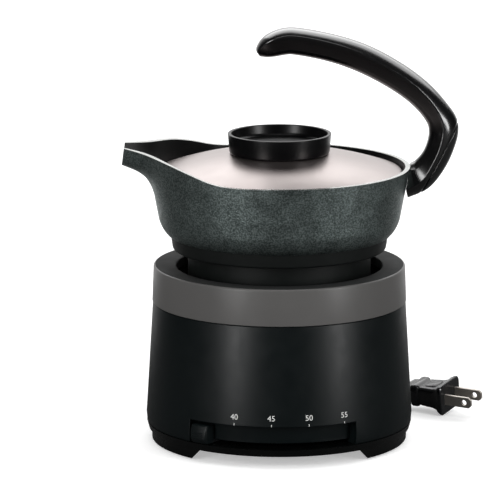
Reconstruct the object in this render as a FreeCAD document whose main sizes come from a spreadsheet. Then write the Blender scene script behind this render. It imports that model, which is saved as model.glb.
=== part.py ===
# Table-top electric sake warmer, in millimetres.
#
# A cast pot with a drawn pouring spout stands on the hot plate of a round base. The base
# holds the heating element, the thermostat and the shaft of its selector lever, whose knob
# slides in a curved recess at the front. The pot carries an open C-shaped handle and a
# domed lid with a cup-shaped knob. A power cord leaves the base at the back.
#
# Frame: the origin lies on the axis of the base, where the rubber pads touch the table.
# +Z is up, the front faces -Y, the spout points to -X and the handle to +X. An azimuth is
# an angle about the axis in degrees, counted from the front towards the handle.

import FreeCAD, Part
import math
import os

import Sketcher
from FreeCAD import Placement, Rotation, Vector

# --------------------------------------------------------------------------------------
# Driving dimensions
# --------------------------------------------------------------------------------------

DRIVING_SIZES = {
    # Base plate, feet and rubber pads
    "deck_top": 11.0,            # height of the base plate's top face
    "deck_sheet": 2.2,           # thickness of the base plate's deck
    "plate_radius": 75.7,        # base plate at its top edge
    "plate_low_radius": 74.6,    # base plate at its lower edge
    "plate_rim_wall": 2.4,       # thickness of the base plate's outer rim
    "foot_top": 7.0,             # height at which the feet leave the base plate
    "foot_low_radius": 72.9,     # outside of the feet at their bottom
    "foot_step": 1.5,            # how far the feet stand back under the plate's edge
    "foot_width": 12.0,          # radial width of a foot
    "foot_gap_top": 88.8,        # width of the gap between the feet, at the base plate
    "foot_gap_low": 100.2,       # the same at the bottom of the feet
    "pad_proud": 0.8,            # how far the pads stand out under the feet
    "pad_depth": 1.4,            # how deep the pads sit in the feet
    "pad_radius": 3.8,
    "pad_circle": 66.2,          # radius of the circle the pads lie on
    "pad_azimuth": 55.0,
    # Housing
    "belly_height": 15.0,        # height of the widest ring of the housing
    "belly_radius": 76.0,
    "seam_height": 80.4,         # where the trim ring takes over
    "seam_radius": 72.1,
    "housing_wall": 2.4,
    "neck_radius": 69.2,         # collar that the trim ring slides over
    "neck_top": 94.6,
    "flange_radius": 61.5,       # opening in the top flange of the housing
    "boss_circle": 66.5,         # circle of the screw bosses
    "boss_radius": 4.0,
    "boss_height": 20.0,
    "boss_azimuth": 68.0,
    "base_screw_radius": 1.5,
    "base_screw_length": 16.0,
    "base_screw_head": 3.0,
    # Trim ring
    "ring_radius": 71.6,         # trim ring at its shoulder
    "ring_top": 101.5,
    "ring_wall": 2.4,
    "ring_shoulder": 1.2,        # radius of the rounded outer shoulder
    "ring_fall": 0.6,            # how far its top falls towards the well
    "ring_lip_round": 0.8,       # radius of the rounded edge round the well
    "ring_step": 0.3,            # how far its lower edge stands out over the housing
    "ring_gap": 0.3,             # seam between trim ring and housing
    "well_radius": 58.6,
    # Well liner, hot plate and heat shield
    "liner_sheet": 1.2,
    "liner_floor": 85.0,         # top of the liner's floor
    "liner_hole": 42.6,
    "liner_flange": 68.0,        # outer radius of the liner's top flange
    "liner_screw_circle": 65.0,
    "seal_sheet": 1.0,
    "hot_plate_radius": 50.0,
    "hot_plate_flange": 4.0,
    "hot_plate_core": 41.4,      # radius of the thick middle that reaches below the liner
    "hot_plate_core_drop": 6.0,  # how far that middle reaches below the flange
    "clamp_circle": 46.6,        # circle of the screws that clamp the plate
    "clamp_screw_radius": 1.5,
    "clamp_screw_bite": 3.0,     # how deep those screws go into the hot plate
    "shield_sheet": 1.0,
    "shield_depth": 20.0,
    "shield_hole": 9.0,
    # Heating element
    "element_circle": 34.0,
    "element_radius": 3.3,
    "element_fit": 0.1,          # clearance in the groove of the hot plate
    "element_gap": 50.0,         # angle left open between the two ends
    "element_leg": 20.0,
    "element_pin_radius": 1.2,
    "element_pin": 5.0,
    # Thermostat and thermal fuse
    "bracket_length": 46.0,
    "bracket_width": 14.0,
    "bracket_sheet": 1.0,
    "bracket_screw_reach": 18.5,
    "thermostat_radius": 12.0,
    "thermostat_height": 11.0,
    "thermostat_bore_depth": 6.0,
    "tab_length": 9.0,
    "tab_width": 6.3,
    "tab_sheet": 0.8,
    "fuse_radius": 2.2,
    "fuse_length": 12.0,
    "fuse_reach": 22.0,          # how far the fuse lies from the axis
    "clip_sheet": 0.8,
    "clip_width": 5.0,
    # Selector: shaft, lever and knob
    "shaft_radius": 3.0,
    "shaft_running_gap": 0.3,    # clearance in the thermostat
    "shaft_bearing_gap": 0.1,    # clearance in the bearing on the base plate
    "bearing_radius": 6.0,
    "bearing_depth": 4.2,
    "off_azimuth": -35.9,        # where the lever rests
    "setting_pitch": 16.1,       # angle between two settings
    "recess_margin": 5.9,        # angle past the first and last setting
    "recess_radius": 69.5,       # back wall of the recess
    "recess_top": 24.0,
    "recess_wall": 2.0,
    "slot_height": 2.4,
    "lever_lift": 0.4,           # clearance under the lever
    "lever_sheet": 1.6,
    "lever_width": 9.0,
    "hub_radius": 8.0,
    "hub_height": 7.0,
    "knob_tab_width": 11.0,
    "knob_tab_top": 22.4,
    "knob_tab_proud": 2.6,       # how far the finger tab stands out beyond the belly
    "knob_tab_gap": 0.6,         # clearance to the back wall of the recess
    "knob_tab_round": 1.6,
    # Cord entry
    "cord_radius": 3.0,
    "gland_height": 19.0,
    "gland_hole": 5.4,
    "gland_flange": 8.0,
    "gland_flange_sheet": 2.2,
    "gland_tail": 20.0,
    "gland_tail_tip": 4.0,
    "clamp_near": 52.0,          # distance of the cord clamp from the axis
    "clamp_depth": 7.0,
    "clamp_width": 24.0,
    "clamp_top": 25.0,
    "clamp_screw_reach": 8.0,
    "block_near": 33.0,          # distance of the terminal block from the axis
    "block_depth": 14.0,
    "block_width": 28.0,
    "block_height": 12.0,
    # Pot
    "pot_foot_radius": 52.0,
    "pot_floor": 3.0,
    "pot_wall": 2.6,
    "skirt_low": 110.8,          # underside of the pot's skirt
    "skirt_low_radius": 60.6,
    "skirt_top": 119.0,          # crease where the skirt meets the bowl
    "skirt_top_radius": 61.8,
    "skirt_round": 1.6,
    "bowl_bend_height": 129.5,   # above this the bowl's wall is a straight taper
    "bowl_step": 1.1,            # how far the bowl's foot stands out over the skirt
    "bowl_lean": 10.5,           # degrees from upright of that taper
    "rim_radius": 74.0,
    "rim_height": 158.0,
    "spout_reach": 15.3,         # tip of the spout's floor, beyond the rim
    "spout_tip_setback": 1.4,    # how far the lips stand back above it
    "spout_floor": 2.6,
    "ledge_drop": 4.2,           # ledge for the lid, below the rim
    "ledge_width": 3.6,
    "ledge_height": 5.0,
    "ledge_opening": 72.0,       # angle left free in front of the spout
    "lug_width": 12.0,
    "lug_height": 14.0,
    "lug_proud": 1.8,            # how far the lug stands out beyond the rim
    "lug_drop": 8.0,             # middle of the lug, below the rim
    "lug_root": 8.0,             # it starts this far inside the rim and is hollowed there
    # Lid and knob
    "lid_inset": 4.6,            # the lid's edge lies this far inside the rim
    "lid_ledge_gap": 0.3,
    "lid_edge_height": 1.2,
    "lid_sheet": 1.2,
    "dome_radius": 210.0,
    "locating_gap": 1.2,         # clearance of the locating ring inside the ledge
    "locating_wall": 1.6,
    "locating_height": 5.0,
    "knob_height": 9.7,         # the knob's rim above the top of the dome
    "knob_top_radius": 29.4,
    "knob_low_radius": 28.3,
    "knob_wall": 2.0,
    "knob_floor": 3.4,
    "knob_foot_round": 1.6,
    "knob_screw_radius": 2.0,
    "knob_screw_head": 4.0,
    "washer_radius": 7.0,
    "washer_sheet": 1.0,
    # Handle
    "handle_width": 22.0,        # across the crowned outer face
    "handle_keel": 14.0,         # across the inner edge
    "handle_span": 105.1,        # from the spine's free end to its outermost point
    "handle_rise": 71.4,         # highest point of the spine, above the rim
    "handle_depth": 15.8,        # depth of the section in the middle of the sweep
    "handle_seat_gap": 0.2,
    "handle_screw_radius": 2.0,
    "handle_screw_head": 3.4,
    "handle_screw_head_height": 2.0,
    "handle_screw_pitch": 8.0,
    "handle_screw_floor": 1.8,   # thickness of the grip under the screws' heads
    "handle_screw_inset": 1.6,   # the screws end this far inside the rim
    "cap_seam_top": 27.2,        # upper end of the cap's seam, beyond the rim
    "cap_seam_top_rise": 26.0,   # and above it
    "cap_seam_low": 5.6,         # lower end, beyond the rim
    "cap_seam_low_drop": 16.0,   # and below it
    # Plug
    "plug_yaw": -32.0,
    "plug_roll": 9.0,
    "plug_flange_width": 23.0,
    "plug_flange_height": 18.0,
    "plug_flange_sheet": 3.5,
    "blade_length": 17.5,
    "blade_width": 6.35,
    "blade_sheet": 1.5,
    "blade_pitch": 12.7,
    "blade_hole": 1.7,
    "blade_root": 8.0,
}

DOC = FreeCAD.newDocument("sake_warmer")
SHEET = DOC.addObject("Spreadsheet::Sheet", "Sizes")
for row, (alias, number) in enumerate(DRIVING_SIZES.items(), 1):
    SHEET.set(f"A{row}", alias)
    SHEET.set(f"B{row}", str(number))
    SHEET.setAlias(f"B{row}", alias)
DOC.recompute()


class Size:
    """A length or angle that carries its value and the sheet expression behind it."""

    def __init__(self, value, text):
        self.value = float(value)
        self.text = text

    def _with(self, other, sign, value):
        return Size(value, f"({self.text} {sign} {as_size(other).text})")

    def __add__(self, other):
        return self._with(other, "+", self.value + as_size(other).value)

    def __sub__(self, other):
        return self._with(other, "-", self.value - as_size(other).value)

    def __mul__(self, other):
        return self._with(other, "*", self.value * as_size(other).value)

    def __truediv__(self, other):
        return self._with(other, "/", self.value / as_size(other).value)

    def __neg__(self):
        return Size(-self.value, f"(-1 * {self.text})")

    def __radd__(self, other):
        return as_size(other) + self

    def __rsub__(self, other):
        return as_size(other) - self

    def __rmul__(self, other):
        return as_size(other) * self

    def sin(self):
        return Size(math.sin(math.radians(self.value)), f"sin({self.text})")

    def cos(self):
        return Size(math.cos(math.radians(self.value)), f"cos({self.text})")


def as_size(number):
    """A Size as it is, or a bare number as a Size."""
    return number if isinstance(number, Size) else Size(number, repr(float(number)))


class Sizes:
    """The sheet's cells as attributes: S.rim_height is the Size of that alias."""

    def __getattr__(self, alias):
        return Size(SHEET.get(alias), f"Sizes.{alias}")


S = Sizes()

# Sizes worked out from the driving ones
DECK_LOW = S.deck_top - S.deck_sheet
FOOT_LOW = S.pad_proud
LINER_TOP = S.neck_top + S.liner_sheet
LINER_UNDER = S.liner_floor - S.liner_sheet
PLATE_LOW = S.liner_floor + S.seal_sheet
PLATE_TOP = PLATE_LOW + S.hot_plate_flange
CORE_LOW = PLATE_LOW - S.hot_plate_core_drop
SHIELD_LOW = LINER_UNDER - S.shield_depth
THERMOSTAT_TOP = CORE_LOW - S.bracket_sheet
THERMOSTAT_LOW = THERMOSTAT_TOP - S.thermostat_height
LEVER_LOW = S.deck_top + S.lever_lift
LEVER_TOP = LEVER_LOW + S.lever_sheet
KNOB_TAB_REACH = S.belly_radius + S.knob_tab_proud
RECESS_START = S.off_azimuth - S.recess_margin
RECESS_SWEEP = S.setting_pitch * 4 + S.recess_margin * 2
LEDGE_TOP = S.rim_height - S.ledge_drop
LID_EDGE_LOW = LEDGE_TOP + S.lid_ledge_gap
LID_EDGE_TOP = LID_EDGE_LOW + S.lid_edge_height
LID_RADIUS = S.rim_radius - S.lid_inset
LEDGE_RADIUS = S.rim_radius - S.pot_wall - S.ledge_width
LOCATING_RADIUS = LEDGE_RADIUS - S.locating_gap
DOME_CENTRE = LID_EDGE_TOP.value - math.sqrt(S.dome_radius.value**2 - LID_RADIUS.value**2)
DOME_TOP = DOME_CENTRE + S.dome_radius.value
KNOB_TOP = DOME_TOP + S.knob_height
SPOUT_TIP = S.rim_radius + S.spout_reach
LUG_REACH = S.rim_radius + S.lug_proud
LUG_MIDDLE = S.rim_height - S.lug_drop
HANDLE_SCREW_SEAT = LUG_REACH + S.handle_screw_floor
HANDLE_SCREW_TIP = S.rim_radius - S.handle_screw_inset
CAP_SEAM_TOP = S.rim_radius + S.cap_seam_top
CAP_SEAM_LOW = S.rim_radius + S.cap_seam_low

# --------------------------------------------------------------------------------------
# Building blocks
# --------------------------------------------------------------------------------------


def bind(item, path, size):
    """Ties one property to the sheet."""
    item.setExpression(path, as_size(size).text)


def place(item, x=0, y=0, z=0, turn=None):
    """Puts an object at a point, turned about the upright axis, all tied to the sheet."""
    spot = [as_size(value) for value in (x, y, z)]
    angle = as_size(0 if turn is None else turn)
    item.Placement = Placement(Vector(*(size.value for size in spot)),
                               Rotation(Vector(0, 0, 1), angle.value))
    for axis, size in zip("xyz", spot):
        bind(item, f"Placement.Base.{axis}", size)
    if turn is not None:
        bind(item, "Placement.Rotation.Angle", angle)
    return item


def around(radius, azimuth):
    """The x and y of a point at a radius and an azimuth."""
    azimuth = as_size(azimuth)
    return radius * azimuth.sin(), -(radius * azimuth.cos())


def cylinder(name, radius, height, x=0, y=0, z=0, sweep=None, turn=None):
    item = DOC.addObject("Part::Cylinder", name)
    bind(item, "Radius", radius)
    bind(item, "Height", height)
    if sweep is not None:
        bind(item, "Angle", sweep)
    return place(item, x, y, z, turn)


def box(name, length, width, height, x=0, y=0, z=0):
    """A box centred on x and y, standing on z."""
    item = DOC.addObject("Part::Box", name)
    bind(item, "Length", length)
    bind(item, "Width", width)
    bind(item, "Height", height)
    return place(item, as_size(x) - as_size(length) / 2, as_size(y) - as_size(width) / 2, z)


def rod(name, radius, start, end, along, across, height):
    """A lying cylinder from start to end along "x" or "y", its axis at the other place."""
    item = DOC.addObject("Part::Cylinder", name)
    bind(item, "Radius", radius)
    bind(item, "Height", as_size(end) - start)
    x, y = (start, across) if along == "x" else (across, start)
    place(item, x, y, height)
    turn = Rotation(Vector(0, 1, 0), 90) if along == "x" else Rotation(Vector(1, 0, 0), -90)
    item.Placement = Placement(item.Placement.Base, turn)
    return item


def ball(name, radius, z):
    item = DOC.addObject("Part::Sphere", name)
    bind(item, "Radius", radius)
    return place(item, 0, 0, z)


def fused(name, *solids):
    item = DOC.addObject("Part::MultiFuse", name)
    item.Shapes = list(solids)
    return item


def cut(name, base, *tools):
    item = DOC.addObject("Part::Cut", name)
    item.Base = base
    item.Tool = tools[0] if len(tools) == 1 else fused(name + "_tools", *tools)
    return item


def common(name, first, second):
    item = DOC.addObject("Part::MultiCommon", name)
    item.Shapes = [first, second]
    return item


def group(name, solids):
    """Like fasteners of one kind: separate solids that share one node."""
    item = DOC.addObject("Part::Compound", name)
    item.Links = list(solids)
    return item


def made(name, shape, placement=None):
    """A shape that neither a body nor a primitive can hold."""
    item = DOC.addObject("Part::Feature", name)
    item.Shape = shape
    if placement is not None:
        item.Placement = placement
    return item


def ring_sector(name, inner, outer, low, height, start, sweep):
    """Part of an upright ring, from a start azimuth over a sweep."""
    whole = cylinder(name + "_whole", outer, height, z=low, sweep=sweep, turn=start - 90)
    core = cylinder(name + "_core", inner, height, z=low)
    return cut(name, whole, core)


def sketch_on(body, role, name, corners):
    """A closed outline of straight lines on an origin plane, each corner tied to the sheet."""
    plane = next(item for item in body.Origin.OriginFeatures if item.Role == role)
    sketch = body.newObject("Sketcher::SketchObject", name)
    sketch.AttachmentSupport = (plane, [""])
    sketch.MapMode = "FlatFace"
    corners = [(as_size(x), as_size(y)) for x, y in corners]
    points = [Vector(x.value, y.value, 0) for x, y in corners]
    count = len(points)
    for number, point in enumerate(points):
        sketch.addGeometry(Part.LineSegment(point, points[(number + 1) % count]), False)
    for number in range(count):
        link = Sketcher.Constraint("Coincident", number, 2, (number + 1) % count, 1)
        sketch.addConstraint(link)
    for number, corner in enumerate(corners):
        for kind, size in zip(("DistanceX", "DistanceY"), corner):
            rule = Sketcher.Constraint(kind, -1, 1, number, 1, size.value)
            bind(sketch, f"Constraints[{sketch.addConstraint(rule)}]", size)
    return sketch


def circle_edges(shape, radius, height):
    """The names of the upright-axis circles of a given radius and height."""
    names = []
    for number, edge in enumerate(shape.Edges, 1):
        curve = edge.Curve
        if isinstance(curve, Part.Circle):
            same = abs(curve.Radius - radius) < 0.01 and abs(curve.Center.z - height) < 0.01
            if same:
                names.append(f"Edge{number}")
    return names


def turned(name, corners, rounds=()):
    """A body turned from a profile of (radius, height) corners, some of them rounded."""
    body = DOC.addObject("PartDesign::Body", name)
    sketch = sketch_on(body, "XZ_Plane", name + "_profile", corners)
    turn = body.newObject("PartDesign::Revolution", name + "_turn")
    turn.Profile = sketch
    turn.ReferenceAxis = (sketch, ["V_Axis"])
    turn.Angle = 360.0
    DOC.recompute()
    for number, (radius, height, size) in enumerate(rounds):
        tip = body.Tip
        edges = circle_edges(tip.Shape, as_size(radius).value, as_size(height).value)
        fillet = body.newObject("PartDesign::Fillet", f"{name}_round_{number}")
        fillet.Base = (tip, edges)
        bind(fillet, "Radius", size)
        body.Tip = fillet
        DOC.recompute()
    return body


def padded(name, role, corners, length, midplane=True):
    """A body padded from an outline of straight lines."""
    body = DOC.addObject("PartDesign::Body", name)
    sketch = sketch_on(body, role, name + "_outline", corners)
    pad = body.newObject("PartDesign::Pad", name + "_pad")
    pad.Profile = sketch
    bind(pad, "Length", length)
    pad.Midplane = midplane
    DOC.recompute()
    return body


def screw(name, x, y, head_low, head_high, head_radius, tip, radius):
    """An upright screw: a head between two heights and a shank from there to its tip."""
    head = cylinder(name + "_head", head_radius, head_high - head_low, x, y, head_low)
    low = head_high if as_size(tip).value > as_size(head_high).value else tip
    high = tip if low is head_high else head_low
    shank = cylinder(name + "_shank", radius, as_size(high) - low, x, y, low)
    return fused(name, head, shank)


# --------------------------------------------------------------------------------------
# Base: plate, pads, housing, trim ring
# --------------------------------------------------------------------------------------

BOSS_AZIMUTHS = [S.boss_azimuth, -S.boss_azimuth, 180 - S.boss_azimuth, S.boss_azimuth - 180]
PAD_AZIMUTHS = [S.pad_azimuth, -S.pad_azimuth, 180 - S.pad_azimuth, S.pad_azimuth - 180]
CLAMP_AZIMUTHS = [30.0, 150.0, 270.0]
LINER_AZIMUTHS = [0.0, 120.0, 240.0]
VENT_COUNT = 10


def make_base_plate():
    """A dished plate whose underside carries two broad arc-shaped feet."""
    dish = turned("base_plate_dish", [
        (0, S.deck_top),
        (S.plate_radius, S.deck_top),
        (S.plate_low_radius, S.foot_top),
        (S.plate_low_radius - S.plate_rim_wall, S.foot_top),
        (S.plate_low_radius - S.plate_rim_wall, DECK_LOW),
        (0, DECK_LOW),
    ])
    foot_ring = turned("base_plate_foot_ring", [
        (S.plate_low_radius - S.foot_step, S.foot_top),
        (S.foot_low_radius, FOOT_LOW),
        (S.foot_low_radius - S.foot_width, FOOT_LOW),
        (S.foot_low_radius - S.foot_width, DECK_LOW),
        (S.plate_low_radius - S.foot_step, DECK_LOW),
    ])
    gap = padded("base_plate_gap", "XZ_Plane", [
        (-S.foot_gap_top / 2, S.foot_top),
        (S.foot_gap_top / 2, S.foot_top),
        (S.foot_gap_low / 2, FOOT_LOW - 1),
        (-S.foot_gap_low / 2, FOOT_LOW - 1),
    ], S.plate_radius * 2)
    feet = cut("base_plate_feet", foot_ring, gap)
    bearing = cylinder("base_plate_bearing", S.bearing_radius,
                       DECK_LOW - S.deck_top + S.deck_sheet + 3, z=DECK_LOW - 3)
    solid = fused("base_plate_solid", dish, feet, bearing)
    holes = [cylinder("bearing_bore", S.shaft_radius + S.shaft_bearing_gap, S.bearing_depth,
                      z=S.deck_top - S.bearing_depth)]
    for number, azimuth in enumerate(BOSS_AZIMUTHS):
        x, y = around(S.boss_circle, azimuth)
        holes.append(cylinder(f"base_screw_hole_{number}", S.base_screw_radius + 0.2,
                              S.deck_top, x, y, 0))
        holes.append(cylinder(f"base_screw_sink_{number}", S.base_screw_head + 0.4,
                              S.foot_top, x, y, 0))
    for number, azimuth in enumerate(PAD_AZIMUTHS):
        x, y = around(S.pad_circle, azimuth)
        holes.append(cylinder(f"pad_seat_{number}", S.pad_radius,
                              S.pad_proud + S.pad_depth, x, y, 0))
    for number in range(VENT_COUNT):
        slot = box(f"vent_{number}", 3, 14, S.deck_sheet + 2, 0, 0, DECK_LOW - 1)
        turn = Rotation(Vector(0, 0, 1), 18 + 360 / VENT_COUNT * number)
        slot.setExpression("Placement.Base.x", None)
        slot.setExpression("Placement.Base.y", None)
        slot.setExpression("Placement.Rotation.Angle", None)
        slot.Placement = Placement(turn.multVec(Vector(-1.5, 18, DECK_LOW.value - 1)), turn)
        holes.append(slot)
    for side in (-1, 1):
        holes.append(cylinder(f"clamp_thread_{side + 1}", 1.4, S.deck_sheet + 2,
                              S.clamp_screw_reach * side,
                              S.clamp_near + S.clamp_depth / 2, DECK_LOW - 1))
    return cut("base_plate", solid, *holes)


def make_foot_pads():
    pads = []
    for number, azimuth in enumerate(PAD_AZIMUTHS):
        x, y = around(S.pad_circle, azimuth)
        pads.append(cylinder(f"pad_{number}", S.pad_radius, S.pad_proud + S.pad_depth, x, y))
    return group("foot_pads", pads)


def make_base_screws():
    screws = []
    for number, azimuth in enumerate(BOSS_AZIMUTHS):
        x, y = around(S.boss_circle, azimuth)
        screws.append(screw(f"base_screw_{number}", x, y, S.foot_top - 2.4, S.foot_top,
                            S.base_screw_head, S.foot_top + S.base_screw_length,
                            S.base_screw_radius))
    return group("base_screws", screws)


def make_housing():
    """The tapered outer shell with its front recess, screw bosses and top flange."""
    shell = turned("housing_shell", [
        (S.plate_radius, S.deck_top),
        (S.belly_radius, S.belly_height),
        (S.seam_radius, S.seam_height),
        (S.neck_radius, S.seam_height),
        (S.neck_radius, S.neck_top),
        (S.flange_radius, S.neck_top),
        (S.flange_radius, S.neck_top - S.housing_wall),
        (S.neck_radius - S.housing_wall, S.neck_top - S.housing_wall),
        (S.neck_radius - S.housing_wall, S.seam_height - S.housing_wall),
        (S.seam_radius - S.housing_wall, S.seam_height - S.housing_wall),
        (S.belly_radius - S.housing_wall, S.belly_height),
        (S.plate_radius - S.housing_wall, S.deck_top),
    ])
    wall_angle = as_size(math.degrees(S.recess_wall.value / S.recess_radius.value))
    wall_middle = S.belly_radius - S.housing_wall / 2 - 0.4
    pan = ring_sector("recess_pan", S.recess_radius - S.recess_wall, wall_middle,
                      S.deck_top, S.recess_top + S.recess_wall - S.deck_top,
                      RECESS_START - wall_angle, RECESS_SWEEP + wall_angle * 2)
    solids = [shell, pan]
    cuts = [
        ring_sector("recess", S.recess_radius, S.belly_radius + 5, S.deck_top - 1,
                    S.recess_top - S.deck_top + 1, RECESS_START, RECESS_SWEEP),
        ring_sector("lever_slot", S.recess_radius - S.recess_wall * 2, S.recess_radius + 1,
                    S.deck_top - 1, S.slot_height + 1, RECESS_START, RECESS_SWEEP),
        rod("gland_hole", S.gland_hole, S.seam_radius - 12, S.belly_radius + 5, "y", 0,
            S.gland_height),
    ]
    for number, azimuth in enumerate(BOSS_AZIMUTHS):
        x, y = around(S.boss_circle, azimuth)
        solids.append(cylinder(f"boss_{number}", S.boss_radius, S.boss_height, x, y, S.deck_top))
        solids.append(ring_sector(f"boss_web_{number}", S.boss_circle, wall_middle,
                                  S.deck_top, S.boss_height, azimuth - 1.5, as_size(3)))
        cuts.append(cylinder(f"boss_bore_{number}", S.base_screw_radius,
                             S.foot_top + S.base_screw_length - S.deck_top + 1, x, y,
                             S.deck_top - 1))
    for number, azimuth in enumerate(LINER_AZIMUTHS):
        x, y = around(S.liner_screw_circle, azimuth)
        cuts.append(cylinder(f"liner_thread_{number}", 1.2, S.housing_wall + 2, x, y,
                             S.neck_top - S.housing_wall - 1))
    return cut("housing", fused("housing_solid", *solids), *cuts)


def make_trim_ring():
    inside = S.ring_top - S.ring_wall
    return turned("trim_ring", [
        (S.seam_radius + S.ring_step, S.seam_height + S.ring_gap),
        (S.ring_radius, S.ring_top),
        (S.well_radius, S.ring_top - S.ring_fall),
        (S.well_radius, LINER_TOP),
        (S.well_radius + S.ring_wall, LINER_TOP),
        (S.well_radius + S.ring_wall, inside),
        (S.neck_radius + 0.1, inside),
        (S.neck_radius + 0.1, S.seam_height + S.ring_gap),
    ], rounds=[
        (S.ring_radius, S.ring_top, S.ring_shoulder),
        (S.well_radius, S.ring_top - S.ring_fall, S.ring_lip_round),
    ])


# --------------------------------------------------------------------------------------
# Well and heater
# --------------------------------------------------------------------------------------


def make_well_liner():
    sheet = turned("well_liner_sheet", [
        (S.liner_flange, S.neck_top),
        (S.liner_flange, LINER_TOP),
        (S.well_radius + 0.2, LINER_TOP),
        (S.well_radius + 0.2, S.liner_floor),
        (S.liner_hole, S.liner_floor),
        (S.liner_hole, LINER_UNDER),
        (S.well_radius + 0.2 + S.liner_sheet, LINER_UNDER),
        (S.well_radius + 0.2 + S.liner_sheet, S.neck_top),
    ])
    holes = []
    for number, azimuth in enumerate(LINER_AZIMUTHS):
        x, y = around(S.liner_screw_circle, azimuth)
        holes.append(cylinder(f"liner_hole_{number}", 1.3, S.liner_sheet + 2, x, y,
                              S.neck_top - 1))
    for number, azimuth in enumerate(CLAMP_AZIMUTHS):
        x, y = around(S.clamp_circle, azimuth)
        holes.append(cylinder(f"liner_clamp_hole_{number}", S.clamp_screw_radius + 0.1,
                              S.liner_sheet + 2, x, y, LINER_UNDER - 1))
    return cut("well_liner", sheet, *holes)


def make_liner_screws():
    screws = []
    for number, azimuth in enumerate(LINER_AZIMUTHS):
        x, y = around(S.liner_screw_circle, azimuth)
        screws.append(screw(f"liner_screw_{number}", x, y, LINER_TOP, LINER_TOP + 1.8, 2.6,
                            S.neck_top - S.housing_wall - 1, 1.2))
    return group("liner_screws", screws)


def make_plate_seal():
    ring = turned("plate_seal_ring", [
        (S.hot_plate_core + 1.2, S.liner_floor),
        (S.hot_plate_radius - 0.4, S.liner_floor),
        (S.hot_plate_radius - 0.4, PLATE_LOW),
        (S.hot_plate_core + 1.2, PLATE_LOW),
    ])
    holes = []
    for number, azimuth in enumerate(CLAMP_AZIMUTHS):
        x, y = around(S.clamp_circle, azimuth)
        holes.append(cylinder(f"seal_hole_{number}", S.clamp_screw_radius + 0.1,
                              S.seal_sheet + 2, x, y, S.liner_floor - 1))
    return cut("plate_seal", ring, *holes)


def make_hot_plate():
    """A cast disc whose thick middle reaches through the liner to carry the element."""
    disc = turned("hot_plate_disc", [
        (0, PLATE_TOP),
        (S.hot_plate_radius, PLATE_TOP),
        (S.hot_plate_radius, PLATE_LOW),
        (S.hot_plate_core, PLATE_LOW),
        (S.hot_plate_core, CORE_LOW),
        (0, CORE_LOW),
    ], rounds=[(S.hot_plate_radius, PLATE_TOP, as_size(1.0))])
    groove = DOC.addObject("Part::Torus", "element_groove")
    bind(groove, "Radius1", S.element_circle)
    bind(groove, "Radius2", S.element_radius + S.element_fit)
    place(groove, 0, 0, CORE_LOW)
    holes = [groove]
    for number, azimuth in enumerate(CLAMP_AZIMUTHS):
        x, y = around(S.clamp_circle, azimuth)
        holes.append(cylinder(f"plate_thread_{number}", S.clamp_screw_radius,
                              S.clamp_screw_bite + 1, x, y, PLATE_LOW - 1))
    for side in (-1, 1):
        holes.append(cylinder(f"bracket_thread_{side + 1}", 1.5, 5,
                              S.bracket_screw_reach * side, 0, CORE_LOW - 1))
    return cut("hot_plate", disc, *holes)


def make_clamp_screws():
    screws = []
    head_high = LINER_UNDER - S.shield_sheet
    for number, azimuth in enumerate(CLAMP_AZIMUTHS):
        x, y = around(S.clamp_circle, azimuth)
        screws.append(screw(f"clamp_screw_{number}", x, y, head_high - 2.2, head_high, 2.8,
                            PLATE_LOW + S.clamp_screw_bite, S.clamp_screw_radius))
    return group("heater_screws", screws)


def make_heat_shield():
    """A deep sheet dish under the plate that keeps the heat off the plastic housing."""
    wall_in = S.hot_plate_core + 0.8
    dish = turned("heat_shield_dish", [
        (S.hot_plate_radius + 0.5, LINER_UNDER),
        (S.hot_plate_radius + 0.5, LINER_UNDER - S.shield_sheet),
        (wall_in + S.shield_sheet, LINER_UNDER - S.shield_sheet),
        (wall_in + S.shield_sheet, SHIELD_LOW - S.shield_sheet),
        (S.shield_hole, SHIELD_LOW - S.shield_sheet),
        (S.shield_hole, SHIELD_LOW),
        (wall_in, SHIELD_LOW),
        (wall_in, LINER_UNDER),
    ])
    holes = []
    for number, azimuth in enumerate(CLAMP_AZIMUTHS):
        x, y = around(S.clamp_circle, azimuth)
        holes.append(cylinder(f"shield_hole_{number}", S.clamp_screw_radius + 0.1,
                              S.shield_sheet + 2, x, y, LINER_UNDER - S.shield_sheet - 1))
    for side in (-1, 1):
        x, y = element_leg_place(side)
        holes.append(cylinder(f"shield_leg_hole_{side + 1}", S.element_radius + 1.5,
                              S.shield_sheet + 2, x, y, SHIELD_LOW - S.shield_sheet - 1))
    return cut("heat_shield", dish, *holes)


def element_leg_place(side):
    """Where an end of the element turns down, on either side of the back."""
    return around(S.element_circle, 180 + S.element_gap * side / 2)


def make_heating_element():
    """A sheathed tube bent round under the plate, with two legs and their pins."""
    coil = DOC.addObject("Part::Torus", "element_coil")
    bind(coil, "Radius1", S.element_circle)
    bind(coil, "Radius2", S.element_radius)
    bind(coil, "Angle3", 360 - S.element_gap)
    place(coil, 0, 0, CORE_LOW, turn=90 + S.element_gap / 2)
    solids = [coil]
    for side in (-1, 1):
        x, y = element_leg_place(side)
        knee = ball(f"element_knee_{side + 1}", S.element_radius, CORE_LOW)
        place(knee, x, y, CORE_LOW)
        solids.append(knee)
        solids.append(cylinder(f"element_leg_{side + 1}", S.element_radius, S.element_leg,
                               x, y, CORE_LOW - S.element_leg))
        solids.append(cylinder(f"element_pin_{side + 1}", S.element_pin_radius,
                               S.element_pin + 1, x, y,
                               CORE_LOW - S.element_leg - S.element_pin))
    return fused("heating_element", *solids)


# --------------------------------------------------------------------------------------
# Thermostat and thermal fuse
# --------------------------------------------------------------------------------------


def thermostat_tab(side):
    reach = S.thermostat_radius + S.tab_length / 2 - 2
    return box(f"thermostat_tab_{side + 1}", S.tab_width, S.tab_length, S.tab_sheet, 0,
               reach * side, THERMOSTAT_LOW + 3)


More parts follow.
